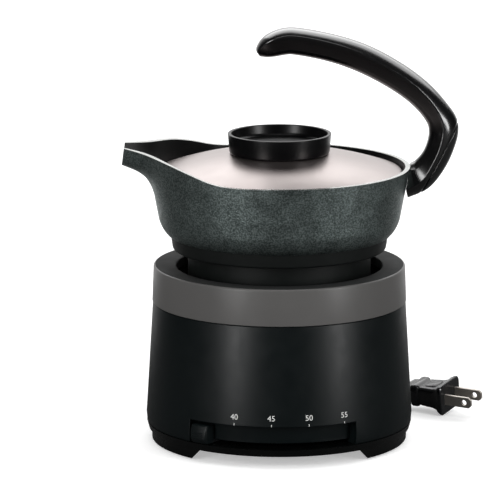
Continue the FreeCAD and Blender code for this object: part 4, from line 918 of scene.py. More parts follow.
    def trim_ring(self) -> bpy.types.Object:
        """The gray ring with its rounded shoulder and the lip round the well.

        Returns:
            The ring.
        """
        low, inside = self.seam_height + 0.3, self.ring_top - self.wall
        neck, well, well_low = self.neck_radius + 0.1, self.well_radius, self.ring_inner_low
        outline = rounded([
            (self.seam_radius + self.ring_step, low, 0.35),
            (self.ring_radius, self.ring_top, 1.2),
            (well, self.ring_top - self.ring_fall, 0.8), (well, well_low, 0.3),
            (well + self.wall, well_low, 0.3), (well + self.wall, inside, 0),
            (neck, inside, 0), (neck, low, 0),
        ], steps=8)
        band = lathe("trim_ring_band", outline)
        band.data.materials.append(Finishes.RING.material())
        band.data.materials.append(Finishes.RING_TOP_PAINTED_SHADE.material())
        # Faces that look up or into the well above the seam take the darker lacquer: painted
        # shade.
        level, outward = 0.97, 0.02
        for face in band.data.polygons:
            centre = face.center / MM
            inward = face.normal.x * centre.x + face.normal.y * centre.y < outward
            if (face.normal.z > level or inward) and centre.z > self.seam_height + 1:
                face.material_index = 1
        return install(band, Finishes.RING, Body.BASE, ["trim_ring"])

    def selector_tab(self) -> bpy.types.Object:
        """The finger tab of the selector, crowned and with three grip ridges.

        Returns:
            The tab.
        """
        side = [(-70.1, 11.5), (-70.1, 22.3), (-77.3, 22.3), (-78.55, 18.4), (-78.55, 14.4),
                (-76.6, 11.5)]
        crowned_from = -72
        loops = []
        for x in (-5.45, -4.2, -1.4, 0.0, 1.4, 4.2, 5.45):
            crown = self.tab_crown * (1 - (x / self.tab_half) ** 2)
            loops.append([(x, y - (crown - self.tab_crown if y < crowned_from else 0.0), z)
                          for y, z in side])
        tab = sleeve("selector_tab", loops)
        soften(tab, width=0.9, angle=35.0, steps=4)
        turn = Matrix.Rotation(math.radians(self.off_azimuth), 4, "Z")
        tab.data.transform(turn)
        install(tab, Finishes.HOUSING, Body.SELECTOR, ["selector_knob"])
        for number, z in enumerate(self.ridge_heights):
            loops = []
            for x, radius in ((-3.6, 0.1), (-3.4, 0.32), (3.4, 0.32), (3.6, 0.1)):
                loops.append([(x, -self.ridge_front - radius * math.cos(math.radians(angle)),
                               z + radius * math.sin(math.radians(angle)))
                              for angle in range(0, 360, 30)])
            ridge = sleeve(f"selector_ridge_{number}", loops)
            ridge.data.transform(turn)
            install(ridge, Finishes.HOUSING, Body.SELECTOR)
        return tab

    def scale(self) -> None:
        """The printed settings above the recess, laid on the tapered skin."""
        for number, words in enumerate(self.scale_text, 1):
            azimuth = self.off_azimuth + self.pitch * number
            self.printed(f"scale_{number}", words, azimuth)
            half, low, high = self.tick_half, self.tick_low, self.tick_high
            tick = [(-half, low), (half, low), (half, high), (-half, high)]
            corners = [self.on_skin(azimuth, x, z) for x, z in tick]
            mark = new_object(f"scale_tick_{number}", corners, [(0, 1, 2, 3)])
            install(mark, Finishes.INK, Body.BASE)

    def on_skin(self, azimuth: float, x: float, z: float) -> Triple:
        """Finds a point just in front of the housing.

        Args:
            azimuth: Where the middle of what is printed lies.
            x: Distance along the skin from there.
            z: Height above the numbers' middle.

        Returns:
            The point.
        """
        height = self.scale_height + z
        radius = self.skin_radius(height) + self.ink_proud
        return around(radius, azimuth + math.degrees(x / radius), height)

    def printed(self, name: str, words: str, azimuth: float) -> bpy.types.Object:
        """Screen-prints a short mark on the housing.

        Args:
            name: The object's name.
            words: The characters to print.
            azimuth: Where its middle is.

        Returns:
            The printed mark.
        """
        curve = bpy.data.curves.new(name + "_type", "FONT")
        curve.body = words
        curve.size = self.scale_size
        curve.align_x = "CENTER"
        curve.align_y = "CENTER"
        curve.resolution_u = 6
        typed = bpy.data.objects.new(name + "_type", curve)
        bpy.context.scene.collection.objects.link(typed)
        flat = bpy.data.meshes.new_from_object(typed)
        corners = [self.on_skin(azimuth, corner.co.x, corner.co.y)
                   for corner in flat.vertices]
        mark = new_object(name, corners, [tuple(face.vertices) for face in flat.polygons])
        bpy.data.objects.remove(typed)
        bpy.data.curves.remove(curve)
        bpy.data.meshes.remove(flat)
        return install(mark, Finishes.INK, Body.BASE)


# ----------------------------------------------------------------------------------------
# Pot
# ----------------------------------------------------------------------------------------


@dataclass
class CastPot:
    """The cast pot with its drawn spout, lid ledge, skirt and foot."""

    rim_radius: float = 74.0
    rim_height: float = 158.0
    #: Slope of the upper wall in degrees.
    lean: float = 10.5
    bend_height: float = 129.5
    foot_radius: float = 52.0
    foot_low: float = 90.0
    skirt_low: float = 110.8
    skirt_low_radius: float = 60.6
    skirt_top: float = 119.0
    skirt_top_radius: float = 61.8
    step: float = 1.1
    wall: float = 2.6
    spout_floor: float = 2.6
    #: Where the slanted cut ends the spout, and the way that the cut faces.
    tip: Pair = (-89.3, 158.7)
    tip_facing: Triple = (-1.0, 0, 0.1284)
    #: Half the spout's width in degrees, outside and in its bore, and how it fades out.
    spread: float = 10.7
    bore_spread: float = 8.8
    power: float = 1.36
    #: How far the spout stands out of the round wall, by height from the rim.
    keel: tuple[Pair, ...] = ((-15.5, 0.0), (-11.6, 0.8), (-8.7, 1.9), (-6.4, 3.3),
                              (-4.1, 5.8), (-2.0, 9.4), (-0.6, 12.9), (0.8, 16.2),
                              (2.8, 19.5), (6.0, 21.0), (14.0, 21.5))
    #: How far the rim climbs, by distance from the axis towards the spout.
    rim_rise: tuple[Pair, ...] = ((0.0, 0.0), (29.0, 0.0), (39.4, 1.5), (50.0, 4.8),
                                  (62.0, 8.1), (74.0, 10.1), (92.0, 12.0), (110.0, 13.0))
    #: Rows of the wall's mesh, and how closely they crowd at the foot.
    wall_rows: int = 48
    crowding: float = 1.3
    #: Half the height of the faced band on the rim.
    rim_band: float = 0.25
    ledge_inner: float = 67.8
    ledge_top: float = 153.8
    ledge_low: float = 148.8
    #: Angle on each side of the spout that the ledge leaves free.
    ledge_opening: float = 36.0

    def build(self) -> None:
        """Builds the pot's shell and the lid's ledge in it."""
        self.shell()
        self.ledge()

    def wall_radius(self, z: float, inset: float) -> float:
        """Radius of the round wall, or of a surface inset within it.

        Args:
            z: The height.
            inset: Distance inwards from the outside.

        Returns:
            The radius.
        """
        lean = math.radians(self.lean)
        at_bend = self.rim_radius - (self.rim_height - self.bend_height) * math.tan(lean)
        if z >= self.bend_height:
            return at_bend + (z - self.bend_height) * math.tan(lean) - inset / math.cos(lean)
        across = at_bend - self.skirt_top_radius - self.step
        down = self.bend_height - self.skirt_top
        bend = (across**2 + down**2) / (2 * (across * math.cos(lean) - down * math.sin(lean)))
        middle = self.bend_height + bend * math.sin(lean)
        return at_bend - bend * math.cos(lean) + math.sqrt(
            max((bend - inset) ** 2 - (middle - z) ** 2, 0.0))

    def plan(self, turn: float, z: float, inset: float) -> Triple:
        """A point of the bowl and its spout.

        Args:
            turn: Degrees from the spout, -180 to 180.
            z: The height.
            inset: 0 for the outside, the wall's thickness for the inside.

        Returns:
            The point.
        """
        radius = self.wall_radius(z, inset)
        floor = self.spout_floor if inset else 0.0
        beak = eased(self.keel, z - self.rim_height - floor)[0]
        reach = beak + (self.wall_radius(z, 0) - radius if beak > 0.01 else 0.0)
        if inset:
            reach *= min(beak / 2.0, 1.0)
        spread = self.bore_spread if inset else self.spread
        distance = radius + reach * math.exp(-((abs(turn) / spread) ** self.power))
        return from_spout(distance, turn, z)

    def rim_point(self, turn: float, inset: float) -> float:
        """Height at which the rim's climbing line meets the bowl.

        Args:
            turn: Degrees from the spout.
            inset: 0 for the outside, the wall's thickness for the inside.

        Returns:
            The height.
        """
        z = self.rim_height
        tries = 12
        for _ in range(tries):
            z = self.rim_height + eased(self.rim_rise, -self.plan(turn, z, inset)[0])[0]
        return z

    def turns(self) -> list[float]:
        """The columns round the bowl, close together at the spout.

        Returns:
            Their turns in degrees, from the spout all the way round.
        """
        near, middle, rest = 14.0, 30.5, 50
        half = [0.7 * step for step in range(21)]
        half += [near + 1.5 * step for step in range(1, 12)]
        half += [middle + (180 - middle) * step / rest for step in range(1, rest + 1)]
        return half + [-turn for turn in reversed(half[1:-1])]

    def shell(self) -> bpy.types.Object:
        """The whole shell: foot, skirt, bowl, faced rim, inside and the slanted spout end.

        Returns:
            The shell.
        """
        low, top = self.skirt_low, self.skirt_top
        bore = self.foot_radius - self.wall - 0.4
        inside = self.skirt_top_radius - 4.2
        foot_floor = self.foot_low + 3.0
        outer_start, inner_start = top + 0.6, top + 0.5
        foot = rounded([
            (0, self.foot_low, 0), (self.foot_radius, self.foot_low, 1.5),
            (self.foot_radius, low, 0.5), (self.skirt_low_radius, low, 1.6),
            (self.skirt_top_radius, top, 0.25),
            (self.wall_radius(top, 0.0), top, 0.3),
            (self.wall_radius(outer_start, 0.0), outer_start, 0), (0, outer_start, 0),
        ], steps=4)[:-1]
        floor = rounded([
            (0, inner_start, 0), (inside + 0.4, inner_start, 0), (inside, top - 1.2, 0.5),
            (bore + 4.4, low + 3.4, 1.0), (bore, low + 1.2, 0.6),
            (bore, foot_floor, 4.0), (0, foot_floor, 0),
        ], steps=4)[1:]
        rows, columns = self.wall_rows, self.turns()
        loops = [[from_spout(radius, turn, z) for turn in columns] for radius, z in foot]
        for row in range(1, rows + 1):
            share = (row / rows) ** self.crowding
            loops.append([self.plan(turn, outer_start + (self.rim_point(turn, 0.0)
                                                         - outer_start) * share, 0.0)
                          for turn in columns])
        for row in range(rows, -1, -1):
            share = (row / rows) ** self.crowding
            loops.append([self.plan(turn, inner_start + (self.rim_point(turn, self.wall)
                                                         - inner_start) * share, self.wall)
                          for turn in columns])
        loops += [[from_spout(radius, turn, z) for turn in columns] for radius, z in floor]
        shell = sleeve("pot_casting", loops, crease=30.0, capped=False)
        for finish in (Finishes.POT, Finishes.RIM, Finishes.NON_STICK, Finishes.FOOT_PAINTED_SHADE):
            shell.data.materials.append(finish.material())
        self.dress(shell)
        sliced(shell, (self.tip[0], 0, self.tip[1]), self.tip_facing)
        soften(shell, width=0.45, angle=50.0, steps=3)
        return install(shell, Finishes.POT, Body.POT, ["pot_shell"])

    def dress(self, shell: bpy.types.Object) -> None:
        """Gives the faced rim and the lining their own finishes, and paints shade on the skirt
        and foot.

        Args:
            shell: The pot's shell, with its four finishes in order.
        """
        lining_reach, bore_reach, facing_up = 58.2, 49.2, 0.6
        for face in shell.data.polygons:
            centre = face.center / MM
            reach = math.hypot(centre.x, centre.y)
            turn = math.degrees(math.atan2(centre.y, -centre.x))
            level = self.rim_point(turn, self.wall / 2)
            on_top = abs(centre.z - level) < self.rim_band and face.normal.z > facing_up
            within = face.normal.z > 0.02
            if centre.z < self.skirt_top + 0.5:
                within = (centre.z > self.foot_low + 1.0 and reach < lining_reach
                          and (reach < bore_reach or centre.z > self.skirt_low + 0.8)
                          and face.normal.z >= -0.01)
            if on_top:
                face.material_index = 1
            elif within:
                face.material_index = 2
            # Below the step: a dark matt coat in place of the pot's own, as painted shade.
            elif centre.z < self.skirt_top - 0.3:
                face.material_index = 3

    def ledge(self) -> bpy.types.Object:
        """The ring inside the bowl that carries the lid, open in front of the spout.

        Returns:
            The ledge.
        """
        inner, top, low = self.ledge_inner, self.ledge_top, self.ledge_low
        outline = rounded([(inner, top, 0.4), (72.0, top, 0), (71.4, low, 0), (71.0, low, 0),
                           (inner, 152.4, 0.4)], steps=3)
        steps, sweep = 96, 360 - 2 * self.ledge_opening
        loops = [[from_spout(radius, self.ledge_opening + sweep * step / steps, z)
                  for radius, z in outline] for step in range(steps + 1)]
        return install(sleeve("lid_ledge", loops), Finishes.NON_STICK, Body.POT)


@dataclass
class PotHandle:
    """The open C-shaped handle: a grip and the cap behind its straight seam."""

    rim_radius: float = 74.0
    rim_height: float = 158.0
    width: float = 22.0
    keel: float = 14.0
    seat_gap: float = 0.2
    edge_round: float = 1.1
    seam_gap: float = 0.14
    seam_round: float = 0.9
    seam_top: Pair = (101.2, 184.0)
    seam_low: Pair = (79.6, 142.0)
    #: Share of the spine after which the sections are kept clear of the pot.
    root_from: float = 0.75
    #: From the free tip to the pot: place out from the rim and above it, depth, share of
    #: the width, and crown.
    stations: tuple[tuple[float, ...], ...] = (
        (-86.3, 64.7, 5.0, 0.42, 1.4), (-83.8, 66.2, 9.6, 0.66, 2.2),
        (-79.4, 68.5, 13.3, 0.88, 2.9), (-73.5, 70.6, 14.9, 0.96, 3.3),
        (-66.8, 71.4, 15.3, 1.0, 3.4), (-45.4, 67.5, 15.6, 1.0, 3.8),
        (-27.1, 61.4, 16.1, 1.0, 4.6), (-8.8, 51.7, 15.8, 1.0, 5.0),
        (5.0, 41.6, 15.4, 1.0, 5.4), (14.7, 30.8, 15.6, 1.0, 6.6),
        (18.8, 22.6, 17.3, 1.0, 9.2), (17.1, 11.6, 15.9, 1.0, 8.8),
        (12.6, 2.0, 15.8, 1.0, 8.4), (5.2, -5.9, 17.8, 0.96, 7.0),
        (-3.5, -8.4, 20.4, 0.92, 6.0))

    def build(self) -> None:
        """Builds the grip and the cap from one swept form."""
        normal = Vector((self.seam_top[1] - self.seam_low[1], 0,
                         -(self.seam_top[0] - self.seam_low[0]))).normalized()
        seam = Vector((self.seam_low[0], 0, self.seam_low[1]))
        pieces = (("handle_grip_form", "handle_grip", 1), ("handle_cap_form", "handle_cap", -1))
        for name, node, side in pieces:
            piece = self.form(name)
            eased_cut(piece, tuple(seam - normal * self.seam_gap * side), tuple(normal * side),
                      self.seam_round)
            install(piece, Finishes.PHENOLIC, Body.POT, [node])

    def table(self) -> list[tuple[float, ...]]:
        """Puts the distance along the spine in front of each station.

        Returns:
            The longer rows.
        """
        rows = []
        distance = 0.0
        before: Optional[tuple[float, ...]] = None
        for station in self.stations:
            if before:
                distance += math.hypot(station[0] - before[0], station[1] - before[1])
            rows.append((distance,) + station)
            before = station
        return rows

    def spine(self, steps: int = 170, passes: int = 5) -> list[list[float]]:
        """Places along the spine, evened out so that the polish runs without a kink.

        Args:
            steps: Number of spans from the free tip to the pot.
            passes: How often each inner place is drawn towards its neighbours.

        Returns:
            Rows of x, z, depth, share of the width and crown.
        """
        table = self.table()
        rows = [eased(table, table[-1][0] * step / steps) for step in range(steps + 1)]
        for _ in range(passes):
            rows = [rows[0]] + [
                [here / 2 + (before + after) / 4
                 for before, here, after in zip(rows[at - 1], rows[at], rows[at + 1])]
                for at in range(1, steps)] + [rows[-1]]
        return rows

    def form(self, name: str) -> bpy.types.Object:
        """Sweeps the crowned section along the spine up to the pot's wall.

        Args:
            name: The object's name.

        Returns:
            The whole handle as one closed mesh.
        """
        rows, pot = self.spine(), CastPot()
        loops = []
        for at, (x, z, depth, share, crown) in enumerate(rows):
            before, after = rows[max(at - 1, 0)], rows[min(at + 1, len(rows) - 1)]
            along = Vector((after[0] - before[0], 0, after[1] - before[1])).normalized()
            spot = Vector((self.rim_radius + x, 0, self.rim_height + z))
            loop = self.section(spot, along, depth, share, crown)
            near = at > len(rows) * self.root_from
            loops.append([self.clear_of_pot(point, pot) for point in loop] if near else loop)
        return sleeve(name, loops, crease=60.0)

    def clear_of_pot(self, point: Triple, pot: CastPot) -> Triple:
        """Moves a point of the handle's root out to the pot's wall where it lies within.

        Args:
            point: The point.
            pot: The pot.

        Returns:
            The point, moved or as it was.
        """
        x, y, z = point
        wall = pot.wall_radius(min(z, self.rim_height), 0.0) + self.seat_gap
        return (math.sqrt(wall**2 - y**2), y, z) if math.hypot(x, y) < wall else point

    def section(self, spot: Vector, along: Vector, depth: float, share: float,
                crown: float) -> list[Triple]:
        """One section of the handle: crowned outside, straight sides, rounded keel.

        Args:
            spot: Its middle.
            along: Direction of the spine there.
            depth: Its depth from crown to keel.
            share: Share of the full width.
            crown: Height of the crown.

        Returns:
            The section's points in order.
        """
        out = Vector((-along.z, 0, along.x))
        side = Vector((0, 1, 0))
        half, keel = self.width / 2 * share, self.keel / 2 * share
        bow = keel * 0.5
        crest = arc(half, crown, 22)
        belly = [(-across, -rise) for across, rise in arc(keel, bow, 14)]
        edge, low = depth / 2 - crown, bow - depth / 2
        corner = self.edge_round * share
        outline = rounded([(-half, edge, corner)]
                          + [(across, edge + rise, 0) for across, rise in crest[2:-2]]
                          + [(half, edge, corner), (keel, low, corner * 0.8)]
                          + [(across, low + rise, 0) for across, rise in belly[2:-2]]
                          + [(-keel, low, corner * 0.8)], steps=5)
        return [tuple(spot + side * across + out * rise) for across, rise in outline]


def arc(half: float, rise: float, steps: int) -> list[Pair]:
    """Points of a bow over a chord, from one end of the chord to the other.

    Args:
        half: Half the chord.
        rise: Height of the bow.
        steps: Number of chords that it is drawn with.

    Returns:
        Places along the chord and heights above it.
    """
    radius = (half**2 + rise**2) / (2 * rise)
    reach = math.asin(min(half / radius, 1.0))
    if rise > half:
        reach = math.pi - reach
    points = []
    for step in range(steps + 1):
        angle = -reach + 2 * reach * step / steps
        points.append((radius * math.sin(angle), radius * math.cos(angle) - radius + rise))
    return points


# ----------------------------------------------------------------------------------------
# Lid
# ----------------------------------------------------------------------------------------


@dataclass
class DomedLid:
    """The spun dome and the cup-shaped knob on it."""

    dome_radius: float = 210.0
    centre: float = -42.901
    edge_radius: float = 69.4
    edge_low: float = 154.15
    sheet: float = 1.2
    #: Radius of the turned-down edge.
    edge_turn: float = 0.9
    knob_low_radius: float = 28.3
    knob_top_radius: float = 29.4
    knob_top: float = 176.8
    knob_wall: float = 2.0
    knob_floor: float = 170.5
    foot_round: float = 1.6

    def build(self) -> None:
        """Builds the dome and the knob."""
        self.dome()
        self.knob()

    def dome_height(self, radius: float, inset: float = 0.0) -> float:
        """Height of the dome at a radius, or of a surface inset within it."""
        return self.centre + math.sqrt((self.dome_radius - inset) ** 2 - radius**2)

    def dome(self) -> bpy.types.Object:
        """The thin dome with its short turned-down edge.

        Returns:
            The dome.
        """
        steps, edge, turn = 28, self.edge_radius, self.edge_turn
        outline = [(edge * step / steps, self.dome_height(edge * step / steps))
                   for step in range(steps)]
        outline += [(edge - turn + turn * math.sin(math.radians(angle)),
                     self.dome_height(edge - turn) - turn
                     + turn * math.cos(math.radians(angle))) for angle in (15, 35, 55, 75, 90)]
        inner = edge - self.sheet
        outline += [(edge, self.edge_low), (inner, self.edge_low)]
        outline += [(inner * step / steps, self.dome_height(inner * step / steps, self.sheet))
                    for step in range(steps, -1, -1)]
        return install(lathe("lid_spinning", outline, steps=224), Finishes.LID, Body.LID,
                       ["lid_dome"])

    def knob(self) -> bpy.types.Object:
        """The open cup whose foot follows the dome.

        Returns:
            The knob.
        """
        low, wall, gap = self.knob_low_radius, self.knob_wall, 0.02
        middle = low * 0.5
        outline = rounded([
            (0, self.dome_height(0) + gap, 0), (middle, self.dome_height(middle) + gap, 0),
            (low, self.dome_height(low) + gap, self.foot_round),
            (self.knob_top_radius, self.knob_top, 0.4),
            (self.knob_top_radius - wall, self.knob_top, 0.5),
            (low - wall, self.knob_floor, 2.6), (0, self.knob_floor, 0),
        ], steps=8)
        return install(lathe("knob_cup", outline, steps=160), Finishes.KNOB, Body.LID,
                       ["lid_knob"])


# ----------------------------------------------------------------------------------------
# Cord and plug
# ----------------------------------------------------------------------------------------


@dataclass
class PowerCord:
    """The cord from its strain relief through a stored coil to the moulded plug."""

    radius: float = 3.0
    #: Height at which the cord leaves the base.
    height: float = 19.0
    #: Where the housing's back stands, and where the strain relief ends behind it.
    face: float = 76.1
    tail_end: float = 98.3
    coil_centre: Pair = (4.0, 158.0)
    coil_radius: float = 31.0
    coil_middle: float = 9.0
    coil_start: float = 196.0
    coil_end: float = 6.0
    whole_turns: int = 6
    per_turn: int = 16
    #: Share of a turn after which the cord moves over to its next place in the bundle.
    shift_from: float = 0.75
    route_out: tuple[Triple, ...] = ((0, 111.5, 19), (-4.5, 124, 18.4), (-13.5, 136, 17),
                                     (-20, 148.5, 14.8))
    route_in: tuple[Triple, ...] = ((36, 160, 5), (34.6, 146, 4), (34.2, 132.5, 3.3),
                                    (35.4, 119, 3.5), (38.4, 105.5, 4.2), (44, 93.6, 5.8),
                                    (52.1, 84.1, 8))
    plug_tail: Triple = (62, 77.4, 10.6)
    plug_length: float = 46.0
    plug_yaw: float = -32.0
    plug_roll: float = 9.0
    rib_pitch: float = 2.7
    tie_outer: float = 9.15
    tie_inner: float = 8.35
    tie_half: float = 3.5
    tie_azimuth: float = 100.0
    #: Where each turn lies in the bundle: out from the middle, and up.
    lay: tuple[Pair, ...] = ((-5.2, 3.0), (0.0, 6.0), (5.2, 3.0), (5.2, -3.0), (0.0, 0.0),
                             (-5.2, -3.0), (0.0, -6.0))

    def build(self) -> None:
        """Builds the cord, its strain relief, its tie and the plug."""
        relief = self.strain_relief()
        plug, panels = self.plug()
        cord = self.cord()
        tie = self.tie()
        LOG.info("cord leaves %s", relief.name)

    def coil_points(self) -> list[Triple]:
        """The coil's control points: six and a half turns, clockwise from above.

        Returns:
            The points, set out a little because a spline of order 3 runs inside them.
        """
        turns = self.whole_turns + (self.coil_start - self.coil_end) / 360
        count = round(turns * self.per_turn)
        shrink = 0.75 + 0.25 * math.cos(2 * math.pi / self.per_turn)
        points = []
        for step in range(count + 1):
            done = turns * step / count
            number = min(int(done), len(self.lay) - 1)
            into = done - number
            here = self.lay[number]
            there = self.lay[min(number + 1, len(self.lay) - 1)]
            share = max(0.0, (into - self.shift_from) / (1 - self.shift_from))
            share = share * share * (3 - 2 * share)
            out = here[0] + (there[0] - here[0]) * share
            up = here[1] + (there[1] - here[1]) * share
            angle = math.radians(self.coil_start - 360 * done)
            radius = (self.coil_radius + out) / shrink
            points.append((self.coil_centre[0] + radius * math.cos(angle),
                           self.coil_centre[1] + radius * math.sin(angle),
                           self.coil_middle + up))
        return points

    def cord(self) -> bpy.types.Object:
        """One open spline through the whole route.

        Returns:
            The cord.
        """
        start = (0.0, self.tail_end, self.height)
        points = [start, *self.route_out, *self.coil_points(), *self.route_in, self.plug_tail]
        curve = bpy.data.curves.new("power_cord", "CURVE")
        curve.dimensions = "3D"
        spline = curve.splines.new("NURBS")
        spline.points.add(len(points) - 1)
        for point, spot in zip(spline.points, points):
            point.co = (spot[0] * MM, spot[1] * MM, spot[2] * MM, 1.0)
        spline.order_u = 3
        spline.use_endpoint_u = True
        spline.resolution_u = 8
        curve.bevel_depth = self.radius * MM
        curve.bevel_resolution = 6
        curve.use_fill_caps = True
        cord = bpy.data.objects.new("power_cord", curve)
        bpy.context.scene.collection.objects.link(cord)
        return install(cord, Finishes.SHEATH, Body.BASE, ["cord", "cord_coil"])

    def tie(self) -> bpy.types.Object:
        """A soft strap round the stored turns.

        Returns:
            The strap.
        """
        outer, inner, half, corner, steps = self.tie_outer, self.tie_inner, self.tie_half, 0.3, 40
        outline = rounded([(outer, -half, corner), (outer, half, corner),
                           (inner, half, corner), (inner, -half, corner)], steps=2)
        loops = []
        for step in range(steps + 1):
            angle = math.radians(360 * step / steps)
            loops.append([(radius * math.cos(angle), y, radius * math.sin(angle))
                          for radius, y in outline])
        strap = sleeve("cord_tie", loops, capped=False)
        turn = math.radians(self.tie_azimuth)
        centre = Vector((self.coil_centre[0] + self.coil_radius * math.cos(turn),
                         self.coil_centre[1] + self.coil_radius * math.sin(turn), outer)) * MM
        strap.data.transform(Matrix.Translation(centre) @ Matrix.Rotation(turn, 4, "Z"))
        return install(strap, Finishes.RUBBER, Body.BASE)

    def strain_relief(self) -> bpy.types.Object:
        """The ribbed, tapering sleeve where the cord leaves the base.

        Returns:
            The sleeve.
        """
        face = self.face
        outline: list[Pair] = [(0, face - 5), (7, face - 5), (7, face - 3), (5.3, face - 3),
                               (5.3, face), (7.6, face), (8, face + 0.4),
                               (8, face + 1.8), (7.6, face + 2.2), (5.6, face + 2.6)]
        ribs, thick, taper = 6, 5.5, 1.35 / 22
        for rib in range(ribs):
            start = face + 4.0 + rib * self.rib_pitch
            radius = thick - taper * (start - face)
            outline += [(radius, start), (radius - 0.1, start + 1.3),
                        (radius - 0.75, start + 1.5), (radius - 0.85, start + 2.5)]
        outline += [(4.0, self.tail_end - 0.4), (3.7, self.tail_end), (0, self.tail_end)]
        relief = lathe("strain_relief", outline, steps=64)
        place = Matrix.Translation(Vector((0, 0, self.height)) * MM)
        relief.data.transform(place @ Matrix.Rotation(math.radians(-90), 4, "X"))
        return install(relief, Finishes.RUBBER, Body.BASE, ["cord_gland"])

    def plug(self) -> tuple[bpy.types.Object, list[bpy.types.Object]]:
        """The moulded plug with its ribbed neck, collar, flat top and flared flange.

        Returns:
            The plug, and the panels on its two flats.
        """
        ribs, pitch, widening = 4, 4.0, 0.22
        stations = [(-self.plug_length, 3.6, 3.6, 3.5)]
        for rib in range(ribs):
            start = -44.6 + rib * pitch
            grow = widening * rib
            stations += [(start + on, half + grow, half + grow, corner)
                         for on, half, corner in ((0.0, 4.0, 3.8), (2.2, 4.1, 3.9),
                                                  (2.5, 3.5, 3.3), (3.7, 3.6, 3.4))]
        stations += [(-28.0, 4.7, 4.7, 4.5), (-27.2, 6.2, 4.9, 2.6), (-26.4, 6.8, 5.2, 2.4),
                     (-23.0, 7.2, 5.4, 2.2), (-22.7, 7.6, 5.9, 2.2), (-22.2, 8.2, 6.5, 2.2),
                     (-21.4, 8.5, 6.7, 2.0), (-18.6, 8.6, 6.7, 2.0), (-17.8, 8.4, 6.4, 2.0),
                     (-17.3, 7.8, 5.8, 2.0), (-16.9, 7.7, 5.6, 2.0), (-15.5, 8.1, 5.9, 2.0),
                     (-8.0, 9.0, 6.2, 2.2), (-5.0, 9.6, 6.8, 2.2),
                     (-3.5, 10.6, 8.1, 2.4), (-1.6, 11.45, 8.95, 2.7), (-0.5, 11.5, 9.0, 2.8),
                     (0.0, 11.0, 8.5, 2.5)]
        loops = [[(x, y, z) for y, z in rounded([
            (half_y, half_z, corner), (-half_y, half_z, corner), (-half_y, -half_z, corner),
            (half_y, -half_z, corner)], steps=6)] for x, half_y, half_z, corner in stations]
        plug = sleeve("plug_moulding", loops, crease=38.0)
        along = Vector((math.cos(math.radians(self.plug_yaw)),
                        math.sin(math.radians(self.plug_yaw)), 0))
        spot = (Vector(self.plug_tail) + along * self.plug_length) * MM
        place = (Matrix.Translation(spot)
                 @ Matrix.Rotation(math.radians(self.plug_yaw), 4, "Z")
                 @ Matrix.Rotation(math.radians(self.plug_roll), 4, "X"))
        plug.data.transform(place)
        panels = [self.plug_panel("plug_panel_top", 1), self.plug_panel("plug_panel_low", -1)]
        for panel in panels:
            panel.data.transform(place)
        return install(plug, Finishes.PLUG, Body.BASE, ["plug_body"]), panels

    def plug_panel(self, name: str, side: int) -> bpy.types.Object:
        """The smooth raised panel on one flat of the plug, lying along its slope.

        Args:
            name: The panel's name.
            side: 1 for the upper flat and -1 for the lower one.

        Returns:
            The panel, placed as the plug is before it is turned.
        """
        outline = rounded([(-14.4, -4.6, 1.2), (-6.8, -5.2, 1.2), (-6.8, 5.2, 1.2),
                           (-14.4, 4.6, 1.2)], steps=4)
        middle, level_at, level, slope = 10.6, 8.0, 6.2, 0.04
        loops = []
        for rise, inset in ((-0.4, 1.0), (0.22, 1.0), (0.34, 0.975)):
            loops.append([((x + middle) * inset - middle, y * inset,
                           side * (level + (x + level_at) * slope + rise))
                          for x, y in outline])
        return install(sleeve(name, loops, crease=50.0), Finishes.PLUG, Body.BASE)


# ----------------------------------------------------------------------------------------
# Studio
# ----------------------------------------------------------------------------------------


